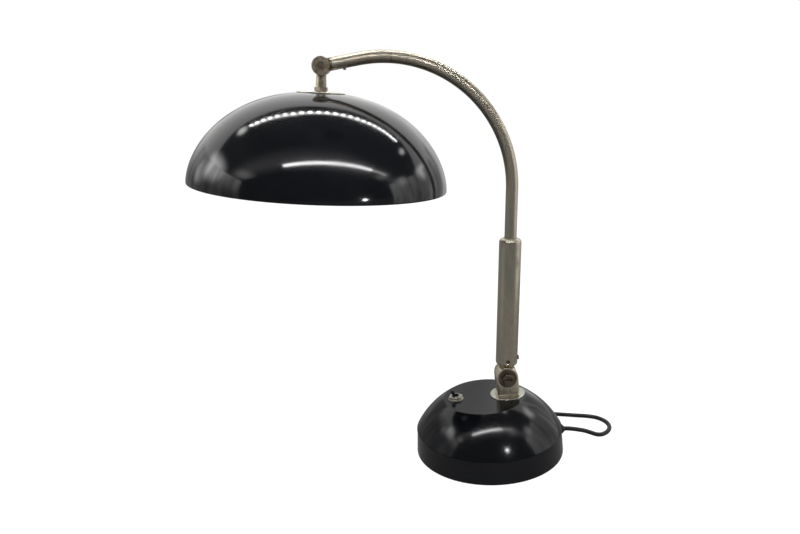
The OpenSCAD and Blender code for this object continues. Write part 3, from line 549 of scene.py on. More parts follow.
def new_piece(name, points, faces, materials, place=in_metres, sharp=40.0):
    """A mesh piece from points in millimetres, with its place in its mesh."""
    mesh = bpy.data.meshes.new(name)
    mesh.from_pydata([tuple(p) for p in points], [], faces)
    mesh.transform(place)
    for material in materials:
        mesh.materials.append(material)
    finish_mesh(mesh, sharp)
    piece = bpy.data.objects.new(name, mesh)
    scene.collection.objects.link(piece)
    return piece


def set_piece(piece, body, slot, *nodes):
    """Lets a finished piece ride on its body and hides the nodes that it stands for. The slot is not used."""
    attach(piece, body)
    if nodes:
        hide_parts(*nodes)
    return piece


def turned_points(profile, around):
    """Rings of points of a turned piece, from its profile of (radius, height)."""
    turn = [2 * math.pi * k / around for k in range(around)]
    return [(r * math.cos(a), r * math.sin(a), z) for r, z in profile for a in turn]


# ---- Recipes of geometry nodes ----


def new_recipe(name, **sizes):
    """An empty geometry tree with named inputs, its helper, its inputs and its end node."""
    given = {"Geometry": "Geometry", **sizes, "Finish": "Material"}
    return new_group(name, given, {"Geometry": "Geometry"}, "GeometryNodeTree")


def circle(n, count, radius):
    return n.add("GeometryNodeCurvePrimitiveCircle", {"Resolution": count, "Radius": radius}, mode="RADIUS").outputs[0]


def drawn(n, curve, profile, caps=True):
    """The mesh that a profile makes along a curve."""
    return n.add("GeometryNodeCurveToMesh", {"Curve": curve, "Profile Curve": profile, "Fill Caps": caps}).outputs[0]


def close_recipe(n, given, end, geometry):
    smooth = n.add("GeometryNodeSetShadeSmooth", {"Geometry": geometry})
    real = n.add("GeometryNodeRealizeInstances", {"Geometry": smooth.outputs[0]})
    painted = n.add("GeometryNodeSetMaterial", {"Geometry": real.outputs[0], "Material": given["Finish"]})
    n.tree.links.new(painted.outputs[0], end.inputs[0])


def cook(name, recipe, finish, place, line=None, sharp=40.0, **sizes):
    """Runs a recipe and keeps its result as a plain mesh. line is a row of points that it follows."""
    mesh = bpy.data.meshes.new(name)
    if line:
        mesh.from_pydata([tuple(p) for p in line], [(i, i + 1) for i in range(len(line) - 1)], [])
    source = bpy.data.objects.new(name + "_source", mesh)
    scene.collection.objects.link(source)
    modifier = source.modifiers.new("recipe", "NODES")
    modifier.node_group = recipe
    values = {"Finish": finish, **{key.replace("_", " "): value for key, value in sizes.items()}}
    for item in recipe.interface.items_tree:
        if item.in_out == "INPUT" and item.name in values:
            modifier[item.identifier] = values[item.name]
    source.update_tag()
    bpy.context.view_layer.update()
    made = bpy.data.meshes.new_from_object(source.evaluated_get(bpy.context.evaluated_depsgraph_get()))
    bpy.data.objects.remove(source)
    made.name = name
    made.transform(place)
    finish_mesh(made, sharp)
    piece = bpy.data.objects.new(name, made)
    scene.collection.objects.link(piece)
    return piece


def spun_dome_recipe():
    """Spun sheet metal shade: two skins whose radius and height follow a rule, a rolled rim and a hole."""
    tree, n, given, end = new_recipe(
        "spun_dome", Radius=0.1, Depth=0.1, Fullness=2.0, Crown=2.0, Wall=0.001, Bead=0.001, Hole=0.005,
        Rings=80, Around=128,
    )

    def power(a, b):
        return n.math("POWER", a, b)

    def over(a, b):
        return n.math("DIVIDE", a, b)

    def skin(radius, depth, start):
        """Profile of one skin from height start to the hole, as x out from the rim's circle and y down."""
        first = n.math("ARCSINE", power(over(start, depth), over(given["Crown"], 2.0)))
        last = n.math("ARCCOSINE", power(over(given["Hole"], radius), over(given["Fullness"], 2.0)))
        line = n.add("GeometryNodeCurvePrimitiveLine")
        points = n.add("GeometryNodeResampleCurve", {"Curve": line.outputs[0], "Count": given["Rings"]})
        share = n.add("GeometryNodeSplineParameter").outputs["Factor"]
        angle = n.plus(first, n.times(power(share, 0.85), n.minus(last, first)))
        out = n.times(radius, power(n.math("COSINE", angle), over(2.0, given["Fullness"])))
        up = n.times(depth, power(n.math("SINE", angle), over(2.0, given["Crown"])))
        at = n.add("ShaderNodeCombineXYZ", {"X": n.minus(out, given["Radius"]), "Y": n.times(up, -1.0)})
        return n.add("GeometryNodeSetPosition", {"Geometry": points.outputs[0], "Position": at.outputs[0]}).outputs[0]

    inner_r = n.minus(given["Radius"], given["Wall"])
    inner_d = n.minus(given["Depth"], given["Wall"])
    low = over(given["Bead"], 6.0)
    # The bead touches the inner skin where its own circle does
    bare = n.minus(given["Bead"], given["Wall"])
    rise = n.math("SQRT", n.minus(power(given["Bead"], 2.0), power(bare, 2.0)))
    bead = n.add("GeometryNodeCurveArc", {
        "Resolution": 20, "Radius": given["Bead"], "Start Angle": 0.0, "Sweep Angle": math.radians(279.6),
    }, mode="RADIUS")
    away = n.add("ShaderNodeCombineXYZ", {"X": n.times(given["Bead"], -1.0), "Y": n.times(low, -1.0)})
    placed = n.add("GeometryNodeTransform", {"Geometry": bead.outputs[0], "Translation": away.outputs[0]})
    rim = n.add("GeometryNodeJoinGeometry")
    outer, inner = skin(given["Radius"], given["Depth"], low), skin(inner_r, inner_d, n.plus(low, rise))
    for part in (outer, inner, placed.outputs[0]):
        n.tree.links.new(part, rim.inputs[0])
    spun = drawn(n, circle(n, given["Around"], given["Radius"]), rim.outputs[0], caps=False)
    whole = n.add("GeometryNodeMergeByDistance", {"Geometry": spun, "Distance": 0.00002})
    close_recipe(n, given, end, whole.outputs[0])
    return tree


def bent_tube_recipe():
    """Round tube drawn along a line of points, very slightly uneven from bending by hand."""
    tree, n, given, end = new_recipe("bent_tube", Radius=0.006, Sides=48, Unevenness=0.0)
    path = n.add("GeometryNodeMeshToCurve", {"Mesh": given["Geometry"]})
    upright = n.add("GeometryNodeSetCurveNormal", {"Curve": path.outputs[0]})
    tube = drawn(n, upright.outputs[0], circle(n, given["Sides"], given["Radius"]))
    dent = n.add("ShaderNodeTexNoise", {"Scale": 70.0, "Detail": 1.0})
    push = n.times(n.minus(dent.outputs["Fac"], 0.5), given["Unevenness"])
    out = n.add("GeometryNodeInputNormal").outputs[0]
    way = n.add("ShaderNodeVectorMath", {0: out, "Scale": push}, operation="SCALE")
    bumped = n.add("GeometryNodeSetPosition", {"Geometry": tube, "Offset": way.outputs[0]})
    close_recipe(n, given, end, bumped.outputs[0])
    return tree


def thread_recipe():
    """Rounded screw thread laid round a bar."""
    tree, n, given, end = new_recipe("screw_thread", Radius=0.005, Pitch=0.001, Turns=5.0, Ridge=0.0003)
    rise = n.times(given["Pitch"], given["Turns"])
    coil = n.add("GeometryNodeCurveSpiral", {
        "Resolution": 40, "Rotations": given["Turns"], "Height": rise,
        "Start Radius": given["Radius"], "End Radius": given["Radius"],
    })
    close_recipe(n, given, end, drawn(n, coil.outputs[0], circle(n, 8, given["Ridge"])))
    return tree


def ribs_recipe():
    """Upright half-round ribs set at equal steps round a circle."""
    tree, n, given, end = new_recipe("ring_of_ribs", Radius=0.02, Count=40, Rib=0.0004, Length=0.01)
    points = n.add("GeometryNodeCurveToPoints", {"Curve": circle(n, given["Count"], given["Radius"])}, mode="EVALUATED")
    rib = n.add("GeometryNodeMeshUVSphere", {"Segments": 8, "Rings": 8, "Radius": given["Rib"]})
    taller = n.math("DIVIDE", given["Length"], n.times(given["Rib"], 2.0))
    stretch = n.add("ShaderNodeCombineXYZ", {"X": 1.0, "Y": 1.0, "Z": taller})
    long_rib = n.add("GeometryNodeTransform", {"Geometry": rib.outputs[0], "Scale": stretch.outputs[0]})
    placed = n.add("GeometryNodeInstanceOnPoints", {"Points": points.outputs[0], "Instance": long_rib.outputs[0]})
    close_recipe(n, given, end, placed.outputs[0])
    return tree


# ---- Base: dome, flat and skirt in one shell ----


def base_shell():
    """Closed shell: down over the flat and the dome, the lip, the groove and the skirt, and up inside."""
    around, tilt = 256, math.radians(FLAT_TILT)
    turn = np.linspace(0, 2 * math.pi, around, endpoint=False)
    up, side = np.array((-math.sin(tilt), 0, math.cos(tilt))), np.array((math.cos(tilt), 0, math.sin(tilt)))
    across = np.array((0, 1, 0))
    centre = np.array((0, 0, dome_z))
    flat_at = (np.array((-FLAT_FORWARD, 0, FLAT_H)) - centre) @ up

    def tilted_ring(radius, height):
        spokes = np.outer(np.cos(turn), side) + np.outer(np.sin(turn), across)
        return centre + up * height + radius * spokes

    def level_ring(radius, height):
        return np.stack([radius * np.cos(turn), radius * np.sin(turn), np.full(around, height)], 1)

    def cap(ball, drop, edge, low, steps):
        """Rings from the flat's middle out over its eased edge and down the ball to height low."""
        hub = math.sqrt((ball - edge) ** 2 - (flat_at - drop - edge) ** 2)
        last = math.atan2(hub, flat_at - drop - edge)
        rings = [tilted_ring(hub * share, flat_at - drop) for share in (0, 0.2, 0.4, 0.6, 0.8, 0.95, 0.995)]
        for a in np.linspace(0, last, 7):
            rings.append(tilted_ring(hub + edge * math.sin(a), flat_at - drop - edge * (1 - math.cos(a))))
        start = rings[-1] - centre
        stop = level_ring(math.sqrt(ball**2 - (low - dome_z) ** 2), low) - centre
        angle = np.arccos(np.clip((start * stop).sum(1) / ball**2, -1, 1))[:, None]
        for share in np.linspace(0, 1, steps)[1:]:
            bent = np.sin((1 - share) * angle) * start + np.sin(share * angle) * stop
            rings.append(centre + bent / np.sin(angle))
        return rings

    def skirt(height):
        return BASE_R - SKIRT_TAPER * (height - FOOT_GAP) / (CREASE_H - FOOT_GAP)

    outside = cap(DOME_R, 0, 0.7, CREASE_H + 0.2, 44)
    profile = [
        (LIP_R - back, CREASE_H + up_by)
        for back, up_by in ((0.02, 0.03), (0.12, -0.06), (0.45, -0.1), (0.85, -0.15), (0.95, -0.35), (0.8, -0.6))
    ]
    profile += [(skirt(h), h) for h in (25.7, 25, 22, 17, 12, 7, 3, 1.6)]
    foot = ((0.12, 0.25), (0.4, 0), (BASE_WALL - 0.3, 0), (BASE_WALL, 0.3))
    profile += [(BASE_R - back, FOOT_GAP + up_by) for back, up_by in foot]
    profile += [(skirt(25.9) - BASE_WALL, 25.9)]
    inside = cap(DOME_R - BASE_WALL, BASE_WALL, 0.3, CREASE_H + 0.3, 16)[::-1]
    rings = outside + [level_ring(r, h) for r, h in profile] + inside
    points = np.concatenate(rings)
    return new_piece("base_cover", points, ring_faces(len(rings), around), [lacquer], sharp=50)


set_piece(base_shell(), "base", "black_lacquer", "base_shell")


# ---- Arm: the bent tube ----


def arm_line():
    """Middle line of the bent tube from its foot in the sleeve to its tip, in millimetres."""
    line = [hinge + float(s) * arm_up for s in np.linspace(TUBE_FOOT, POST_L, 60)]
    for a in np.linspace(0, math.radians(BEND_ANGLE), 121)[1:]:
        way = math.radians(ARM_LEAN) - a
        line.append(bend_mid + BEND_R * Vector((math.cos(way), 0, -math.sin(way))))
    line += [bend_end + float(s) * tip_way for s in np.linspace(0, TIP_L - SHANK_END, 12)[1:]]
    return line


tube = cook(
    "bent_arm", bent_tube_recipe(), tube_nickel, in_metres, line=arm_line(), sharp=60,
    Radius=TUBE_R, Sides=64, Unevenness=0.0001,
)
set_piece(tube, "upper_arm", "aged_nickel", "arm_tube")

# ---- Shade ----

shade = cook(
    "spun_shade", spun_dome_recipe(), shade_lacquer, on_shade @ Matrix.Translation((0, 0, -SHADE_DROP - SHADE_DEPTH)),
    sharp=50, Radius=SHADE_R, Depth=SHADE_DEPTH, Fullness=FULLNESS, Crown=1.73, Wall=SHADE_WALL, Bead=1.2, Hole=5.0,
    Rings=90, Around=256,
)


def paint_rim(piece, material, reach=0.1299):
    """Gives the faces of the rolled rim that look towards the shade's middle their own finish."""
    piece.data.materials.append(material)
    middle = on_shade @ Vector((0, 0, -SHADE_DROP - SHADE_DEPTH))
    for face in piece.data.polygons:
        if face.normal.dot(face.center - middle) < 0 and (face.center - middle).length < reach:
            face.material_index = 1


paint_rim(shade, enamel)
set_piece(shade, "shade_head", "shade_lacquer", "shade")

# ---- Disc on the shade's top ----


def top_disc():
    """Thin disc, pressed hollow so that it follows the crown of the shade."""
    rim, hole, low, high = DISC_R, 5.06, -SHADE_DROP, -SHADE_DROP + 1.6

    def lies(r):
        """Height of the shade's skin under the disc."""
        return low - 1.2 * (r / rim) ** FULLNESS

    profile = [(hole, low), (hole, high - 0.1), (7.6, high)]
    profile += [(r, lies(r) + 1.62 - 0.55 * (r / rim) ** 2) for r in (12, 15, 18, 21, 23)]
    profile += [(rim - r, lies(rim) + z) for r, z in ((0.22, 0.98), (0.04, 0.78), (0, 0.5), (0.1, 0.2), (0.3, 0.08))]
    profile += [(18, lies(18) + 0.04), (12, lies(12) + 0.02)]
    around = 160
    faces = ring_faces(len(profile), around, closed=True)
    return new_piece("hollow_disc", turned_points(profile, around), faces, [bright_nickel], on_shade)


set_piece(top_disc(), "shade_head", "bright_nickel", "shade_top_disc")

# ---- Threads and ribs ----

screw_thread = thread_recipe()


def add_thread(name, finish, body, slot, place, **sizes):
    set_piece(cook(name, screw_thread, finish, place, sharp=60, **sizes), body, slot)


hinge_out = in_metres @ Matrix.Translation(hinge) @ Matrix.Rotation(math.radians(-90), 4, "X")
add_thread(
    "switch_thread", bright_nickel, "base", "bright_nickel", on_flat(SWITCH_X) @ Matrix.Translation((0, 0, 3.25)),
    Radius=5.08, Pitch=0.35, Turns=2.2, Ridge=0.2,
)
add_thread(
    "hinge_bolt_thread", bronzed, "base", "bronzed_steel", hinge_out @ Matrix.Translation((0, 0, 19.0)),
    Radius=3.85, Pitch=0.6, Turns=1.8, Ridge=0.3,
)
add_thread(
    "knuckle_bolt_thread", bronzed, "shade_head", "bronzed_steel",
    on_shade @ Matrix.Rotation(math.radians(-90), 4, "X") @ Matrix.Translation((0, 0, 14.0)),
    Radius=2.4, Pitch=0.3, Turns=2.0, Ridge=0.16,
)
bulb_tip = SHADE_DROP + SHADE_DEPTH + 10
bulb_base = bulb_tip - BULB_L
add_thread(
    "bulb_cap_thread", tin, "shade_head", "bulb_tin", on_shade @ Matrix.Translation((0, 0, -bulb_base - 22.5)),
    Radius=12.75, Pitch=3.6, Turns=4.6, Ridge=0.75,
)
grip = cook(
    "holder_grip", ribs_recipe(), phenolic, on_shade @ Matrix.Translation((0, 0, -bulb_base - 9.5)),
    sharp=60, Radius=19.45, Count=56, Rib=0.55, Length=14.0,
)
set_piece(grip, "shade_head", "holder_brown")

# ---- Cord, plug and band ----

COIL_MID = (13.0, 127.0)
COIL_START, COIL_OUT, COIL_TURNS = -105.6, 39.0, 3.75
COIL_STEP, COIL_LOW = 5.25, 3.1
COIL_LEAD = 6.0
COIL_IN = COIL_OUT - COIL_TURNS * COIL_STEP
PLUG_AT, PLUG_TURN = Vector((-20.8, 90.9, 6.4)), 192.0
PLUG_L = 25.0
CORD_ROUTE = [
    (84, 0, 17.5), (88, 0, 17.5), (95, 1.3, 15.8), (102, 3.5, 13.3), (109, 5.4, 10.6), (116, 6.4, 7.4),
    (122.5, 7, 4.6), (129, 8.8, 3.3), (135.5, 13.4, 3.1), (140, 19.5, 3.1), (142.6, 27, 3.1), (142.6, 35.6, 3.1),
    (139.6, 43.8, 3.1), (134, 50.5, 3.1), (125, 55.3, 3.1), (113, 58.6, 3.1), (100, 62.2, 3.1), (87, 65.9, 3.1),
    (74, 69.5, 3.1), (61, 73.1, 3.1), (48, 76.7, 3.1), (35, 80.3, 3.1), (22, 83.9, 3.1),
]
start = math.radians(COIL_START)
coil_way = Vector((math.sin(start), -math.cos(start), 0))
plug_way = Vector((math.cos(math.radians(PLUG_TURN)), math.sin(math.radians(PLUG_TURN)), 0))


def coil_point(turn, radius, height):
    """Point of the coil after so many turns, which run clockwise."""
    angle = start - 2 * math.pi * turn
    return Vector((COIL_MID[0] + radius * math.cos(angle), COIL_MID[1] + radius * math.sin(angle), height))


def coil_points(per_turn=60):
    """In along the floor, up a layer in half a turn, and out again."""
    points = []
    for i in range(int(2 * COIL_TURNS * per_turn + per_turn / 2) + 1):
        turn = i / per_turn
        climb = min(max((turn - COIL_TURNS) / 0.5, 0), 1)
        dip = min(max(turn - COIL_TURNS, 0), max(COIL_TURNS + 0.5 - turn, 0)) if 0 < climb < 1 else 0
        inward = min(turn, COIL_TURNS) - max(turn - COIL_TURNS - 0.5, 0) + dip
        height = COIL_LOW + COIL_STEP * (1 - math.cos(math.pi * climb)) / 2
        points.append(coil_point(turn, COIL_OUT - COIL_STEP * inward, height))
    return points


def eased(points, steps=4):
    """The same route with rounded corners, as a run of Catmull-Rom curves."""
    p = [Vector(x) for x in points]
    p = [2 * p[0] - p[1], *p, 2 * p[-1] - p[-2]]
    out = []
    for i in range(1, len(p) - 2):
        for k in range(steps):
            t = k / steps
            a, b, c, d = p[i - 1 : i + 3]
            square, cube = 2 * a - 5 * b + 4 * c - d, 3 * b - a - 3 * c + d
            out.append(0.5 * (2 * b + (c - a) * t + square * t * t + cube * t**3))
    return [*out, p[-2]]


def cord_line():
    """Middle line of the whole cord, from the base to the plug."""
    coil = coil_points()
    first, last = coil[0], coil[-1]
    tail = [
        last + COIL_LEAD * coil_way, last + 8.4 * coil_way,
        (-8.8, 92.2, 8.15), (-12.1, 92.35, 7.5), (-15.4, 92.05, 6.75),
        PLUG_AT - CORD_D * plug_way + Vector((0, 0, 0.05)), PLUG_AT,
    ]
    return eased([*CORD_ROUTE, first - COIL_LEAD * coil_way]) + coil + eased(tail)


def swept(name, line, sides, radius, materials):
    """Round tube along a line of points, closed at both ends, with a UV map of metres along and turns around."""
    line = [Vector(p) for p in line]
    ways = [(line[min(i + 1, len(line) - 1)] - line[max(i - 1, 0)]).normalized() for i in range(len(line))]
    across = ways[0].orthogonal().normalized()
    points, lengths, far = [], [], 0.0
    for i, (at, way) in enumerate(zip(line, ways)):
        across = (across - across.dot(way) * way).normalized()
        over = way.cross(across)
        far += (at - line[max(i - 1, 0)]).length
        lengths.append(far)
        for k in range(sides):
            a = 2 * math.pi * k / sides
            points.append(at + radius * (math.cos(a) * across + math.sin(a) * over))
    piece = new_piece(name, points, tube_faces(len(line), sides), materials, sharp=60)
    flow = piece.data.uv_layers.new(name="flow")
    for face in piece.data.polygons:
        around = [v % sides for v in face.vertices]
        wrap = max(around) - min(around) > sides / 2
        for loop, k in zip(face.loop_indices, around):
            ring = piece.data.loops[loop].vertex_index // sides
            flow.data[loop].uv = (lengths[ring] * MM, (k + sides if wrap and k < sides / 2 else k) / sides)
    return piece


line = cord_line()
cord = swept("cord_flex", line, 14, CORD_D / 2, [flex])
set_piece(cord, "base", "cord_black", "cord", "cord_coil", "cord_tail")


def plug_moulding():
    """Plug: a rounded body that swells from its neck, a waist for the fingers and a ribbed sleeve on the cord."""
    around, rings = 48, []

    def section(x, half_w, half_t, full):
        row = []
        for k in range(around):
            a = 2 * math.pi * k / around
            c, s = math.cos(a), math.sin(a)
            wide, thick = (math.copysign(abs(v) ** (2 / full), v) for v in (c, s))
            row.append((x, half_w * wide, half_t * thick))
        rings.append(row)

    section(-4.6, 2.6, 2.6, 2)
    for i in range(5):
        x = -4.5 + 1.1 * i
        for step, r in ((0, 3.1), (0.25, 3.6), (0.6, 3.6), (0.85, 3.1)):
            section(x + step, r + 0.12 * i, r + 0.12 * i, 2)
    for x, w, t, full in (
        (1.2, 4.6, 4.3, 2.4), (2.2, 5.6, 4.9, 2.8), (5, 7.6, 5.5, 3), (8, 9.8, 6.0, 3.4), (10.5, 10.8, 6.2, 4),
        (12, 10.9, 5.9, 4), (13.2, 10.7, 5.35, 4), (17.6, 10.7, 5.35, 4), (18.8, 10.9, 5.9, 4), (20.4, 11, 6.3, 4.4),
        (24.2, 11, 6.3, 4.4), (24.8, 10.8, 6.1, 4.4), (PLUG_L, 10.4, 5.7, 4.4),
    ):
        section(x, w, t, full)
    points = [p for row in rings for p in row]
    faces = tube_faces(len(rings), around)
    place = in_metres @ Matrix.Translation(PLUG_AT) @ Matrix.Rotation(math.radians(PLUG_TURN), 4, "Z")
    return new_piece("plug_moulding", points, faces, [rubber], place, sharp=35)


def coil_band():
    """Band wrapped round the turns of the coil, with its free end lying over itself."""
    half_w, thick = 3.0, 0.5
    low, high = COIL_LOW - CORD_D / 2 - 0.15, COIL_LOW + COIL_STEP + CORD_D / 2 + 0.2
    left, right = COIL_IN - CORD_D / 2 - 0.4, COIL_OUT + CORD_D / 2 + 0.2
    mid, corner = (left + right) / 2, 1.6

    def loop(grow):
        """Outline round the turns with rounded corners, from the middle of the top and over the outside."""
        out = [(mid, high + grow)]
        near, far, under, over = left + corner, right - corner, low + corner, high - corner
        for x, z, first in ((far, over, 90), (far, under, 0), (near, under, -90), (near, over, 180)):
            for k in range(7):
                a = math.radians(first - 15 * k)
                out.append((x + (corner + grow) * math.cos(a), z + (corner + grow) * math.sin(a)))
        return out

    inner, outer = loop(0), loop(thick)
    # The free end runs on from the loop's end, over its start
    inner += [(mid + x, high + z * thick) for x, z in ((-1, 0), (1, 1), (8, 1), (9.5, 1))]
    outer += [(mid + x, high + z * thick) for x, z in ((-1.6, 1), (0.4, 1.9), (8, 2), (9.5, 1.6))]
    points = []
    for (xi, zi), (xo, zo) in zip(inner, outer):
        points += [(xi, -half_w, zi), (xo, -half_w, zo), (xo, half_w, zo), (xi, half_w, zi)]
    faces = ring_faces(len(inner), 4) + [(3, 2, 1, 0), tuple(len(points) - 4 + k for k in range(4))]
    place = in_metres @ Matrix.Translation((*COIL_MID, 0)) @ Matrix.Rotation(math.radians(60), 4, "Z")
    piece = new_piece("coil_band", points, faces, [band], place, sharp=45)
    flow = piece.data.uv_layers.new(name="flow")
    for face in piece.data.polygons:
        for loop_index in face.loop_indices:
            vertex = piece.data.loops[loop_index].vertex_index
            flow.data[loop_index].uv = (vertex // 4 * 0.002, (vertex % 4 in (2, 3)) * 0.006)
    return piece


plug = set_piece(plug_moulding(), "base", "cord_black", "plug_body")
tie = set_piece(coil_band(), "base", "cord_black", "cord_tie")


# ---- Floor, light tent and lamps ----


def ray_kinds(n):
    """Masks of the rays that the camera sends straight out, and of those by way of metal, gloss or glass."""
    path = n.add("ShaderNodeLightPath").outputs
    return path["Is Camera Ray"], n.math("MAXIMUM", path["Is Glossy Ray"], path["Is Transmission Ray"])


def empty_tree(owner):
    owner.use_nodes = True
    n = Nodes(owner.node_tree)
    n.tree.nodes.clear()
    return n


def pale_floor():
    """Plain pale floor. What the camera sees of it is white but for the lamp's soft shadow."""
    bpy.ops.mesh.primitive_plane_add(size=40)
    floor = bpy.context.object
    floor.name = "floor"
    material = bpy.data.materials.new("pale_floor")
    n = empty_tree(material)
    seen, mirrored = ray_kinds(n)
    colour = n.mix(seen, n.mix(mirrored, (0.6, 0.6, 0.6), (0.06, 0.06, 0.06)), (0.2, 0.2, 0.2))
    glow = n.plus(n.times(seen, 0.94), n.times(mirrored, 0.19))
    plain = n.add("ShaderNodeBsdfDiffuse", {"Color": colour})
    light = n.add("ShaderNodeEmission", {"Color": (1, 1, 1, 1), "Strength": glow})
    both = n.add("ShaderNodeAddShader", {0: plain.outputs[0], 1: light.outputs[0]})
    n.add("ShaderNodeOutputMaterial", {"Surface": both.outputs[0]})
    floor.data.materials.append(material)


TENT_LEFT, TENT_RIGHT, TENT_BACK, TENT_TOP, TENT_FRONT = -0.60, 0.60, 0.55, 0.53, -0.32
LAMP_Z = 0.52
ROW_COUNT, ROW_START, ROW_PITCH = 24, -0.300, 0.0171
ROW_Y, ROW_BEND, ROW_SLOPE = -0.004, -0.2, 0.2


def tent_cloth():
    """Cloth of the light tent: only gloss, metal and glass see it, lit where its lamps are near."""
    material = bpy.data.materials.new("tent_cloth")
    n = empty_tree(material)
    place = n.here()
    x, y, z = n.add("ShaderNodeSeparateXYZ", {0: place}).outputs
    mirrored = ray_kinds(n)[1]

    def spot(at, near, far, inside, outside=0.0):
        """Soft round pool on the cloth."""
        return n.span(n.vector("DISTANCE", place, at)["Value"], near, far, inside, outside)

    folded = n.add("ShaderNodeMapping", {"Vector": place, "Scale": (7, 16, 2.5)}).outputs[0]
    fold = n.add("ShaderNodeTexNoise", {"Vector": folded, "Scale": 1.0, "Detail": 2.0}).outputs["Fac"]
    on_top = n.math("GREATER_THAN", z, TENT_TOP - 0.004)
    seam = n.minus(y, n.times(x, 0.13))
    top = n.span(seam, 0.074, 0.082, 0.11, 1.25)
    top = n.times(top, spot((-0.094, -0.098, TENT_TOP), 0.024, 0.031, 0.1, 1.0))
    top = n.plus(top, n.span(n.math("ABSOLUTE", n.plus(y, 0.235)), 0.0, 0.09, 0.6, 0.0))
    low = n.span(x, -0.42, 0.10, 0.27, 0.80)
    wall = n.plus(low, n.times(n.minus(1.1, low), n.span(z, 0.34, TENT_TOP, 0.0, 1.0)))
    wall = n.times(wall, n.span(y, -0.22, 0.15, 1.7, 1.0))
    pool = 0.0
    for at, near, far, strength in (
        ((TENT_LEFT, -0.03, 0.52), 0.03, 0.14, 4.8), ((TENT_LEFT, 0.10, 0.43), 0.02, 0.10, 1.2),
        ((-0.34, 0.0, TENT_TOP), 0.005, 0.03, 6.0), ((0.56, 0.24, TENT_TOP), 0.02, 0.15, 3.2),
        ((0.57, -0.13, TENT_TOP), 0.01, 0.12, 2.6), ((0.18, 0.045, TENT_TOP), 0.005, 0.04, 5.0),
        ((-0.5, -0.27, TENT_TOP), 0.01, 0.1, 1.6), ((0.3, -0.24, TENT_TOP), 0.01, 0.1, 1.4),
    ):
        pool = n.plus(pool, spot(at, near, far, strength))
    wall = n.plus(wall, pool)
    past_bend = n.math("MAXIMUM", n.minus(x, ROW_BEND), 0.0)
    off_row = n.math("ABSOLUTE", n.minus(n.minus(y, ROW_Y), n.times(past_bend, ROW_SLOPE)))
    in_row = n.math("LESS_THAN", n.math("ABSOLUTE", n.plus(x, 0.103)), 0.2)
    haze = n.times(in_row, n.span(off_row, 0.003, 0.010, 9.0, 0.0))
    top = n.plus(n.plus(top, pool), haze)
    wall = n.times(wall, n.span(fold, 0.3, 0.7, 0.55, 1.35))
    glow = n.plus(n.times(on_top, top), n.times(n.minus(1.0, on_top), wall))
    lit = n.add("ShaderNodeEmission", {"Color": (1, 0.995, 0.985, 1), "Strength": glow})
    clear = n.add("ShaderNodeBsdfTransparent")
    both = n.add("ShaderNodeMixShader", {0: mirrored, 1: clear.outputs[0], 2: lit.outputs[0]})
    n.add("ShaderNodeOutputMaterial", {"Surface": both.outputs[0]})
    return material


def light_tent():
    """Open box of cloth over the lamp, as its reflections in the lacquer show: no front and no floor."""
    left, right, back, top, front = TENT_LEFT, TENT_RIGHT, TENT_BACK, TENT_TOP, TENT_FRONT
    corners = [(x, y, z) for x in (left, right) for y in (front, back) for z in (0.002, top)]
    mesh = bpy.data.meshes.new("light_tent")
    mesh.from_pydata(corners, [], [(0, 1, 3, 2), (4, 6, 7, 5), (2, 3, 7, 6), (1, 5, 7, 3)])
    mesh.materials.append(tent_cloth())
    tent = bpy.data.objects.new("light_tent", mesh)
    scene.collection.objects.link(tent)
    tent.visible_shadow = False


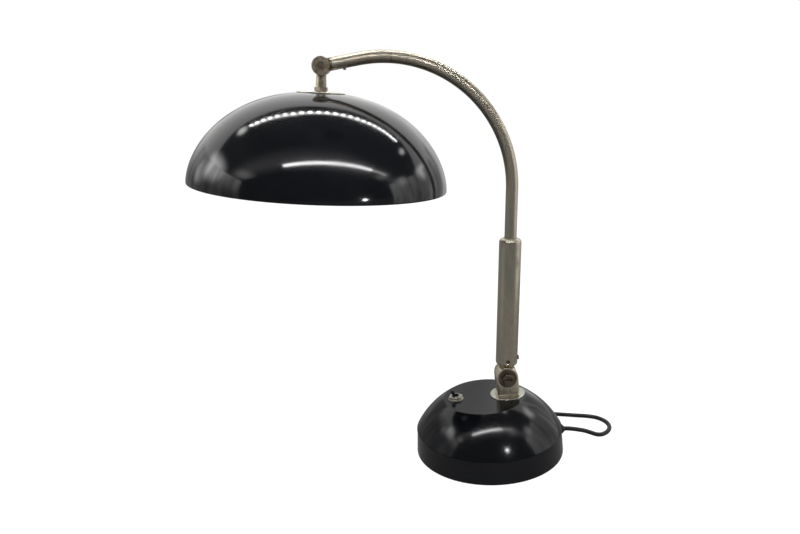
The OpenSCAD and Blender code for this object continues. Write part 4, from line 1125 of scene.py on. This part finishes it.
def surroundings():
    """White to the camera. As light and in reflections, a pale room: bright behind and at the sides, dim in front."""
    world = bpy.data.worlds.new("room")
    scene.world = world
    n = empty_tree(world)
    y = n.add("ShaderNodeSeparateXYZ", {0: n.add("ShaderNodeTexCoord").outputs["Generated"]}).outputs[1]
    seen, mirrored = ray_kinds(n)
    behind = n.span(y, -0.3, 0.4, 0.10, 1.0)
    room = n.plus(n.times(mirrored, behind), n.times(n.minus(1.0, mirrored), 0.55))
    plain = n.add("ShaderNodeBackground", {"Color": (1, 1, 1, 1), "Strength": 1.0})
    light = n.add("ShaderNodeBackground", {"Color": (1, 1, 1, 1), "Strength": room})
    both = n.add("ShaderNodeMixShader", {0: seen, 1: light.outputs[0], 2: plain.outputs[0]})
    n.add("ShaderNodeOutputWorld", {"Surface": both.outputs[0]})


def add_lamp(name, kind, at, power, **settings):
    data = bpy.data.lights.new(name, kind)
    data.energy = power
    for key, value in settings.items():
        setattr(data, key, value)
    lamp = bpy.data.objects.new(name, data)
    lamp.location = at
    lamp.visible_camera = False
    scene.collection.objects.link(lamp)
    return lamp


def aim(lamp, at):
    lamp.rotation_euler = (Vector(at) - lamp.location).to_track_quat("-Z", "Y").to_euler()


def lamps():
    """The tent's row of small lamps and its soft strip, a small lamp at its mouth, and soft light from outside."""
    for k in range(ROW_COUNT):
        x = ROW_START + ROW_PITCH * k
        y = ROW_Y + ROW_SLOPE * max(0, x - ROW_BEND)
        add_lamp(f"row_lamp_{k:02d}", "POINT", (x, y, LAMP_Z), 0.03, shadow_soft_size=0.004)
    strips = (("soft_strip", -0.055, -0.238, 0.8, 0.39), ("soft_strip_end", 0.215, -0.21, 0.06, 0.14))
    for name, x, y, power, long in strips:
        strip = add_lamp(name, "AREA", (x, y, LAMP_Z), power, shape="RECTANGLE", size=long, size_y=0.02)
        strip.rotation_euler = (0, 0, 0.1)
    mouth = add_lamp("mouth_lamp", "POINT", (0.149, -0.374, 0.301), 0.75, shadow_soft_size=0.012)
    lacquered = bpy.data.collections.new("lacquered")
    for name in ("base_cover", "spun_shade"):
        lacquered.objects.link(bpy.data.objects[name])
    mouth.light_linking.receiver_collection = lacquered
    for name, at, power in (("left_light", (-1.3, -1.2, 1.9), 22.0), ("right_light", (1.5, -0.5, 1.7), 14.0)):
        soft = add_lamp(name, "AREA", at, power, shape="RECTANGLE", size=1.2, size_y=1.2)
        aim(soft, (-0.05, 0, 0.2))
        soft.visible_glossy = False


pale_floor()
light_tent()
surroundings()
lamps()
scene.view_settings.view_transform = "Standard"
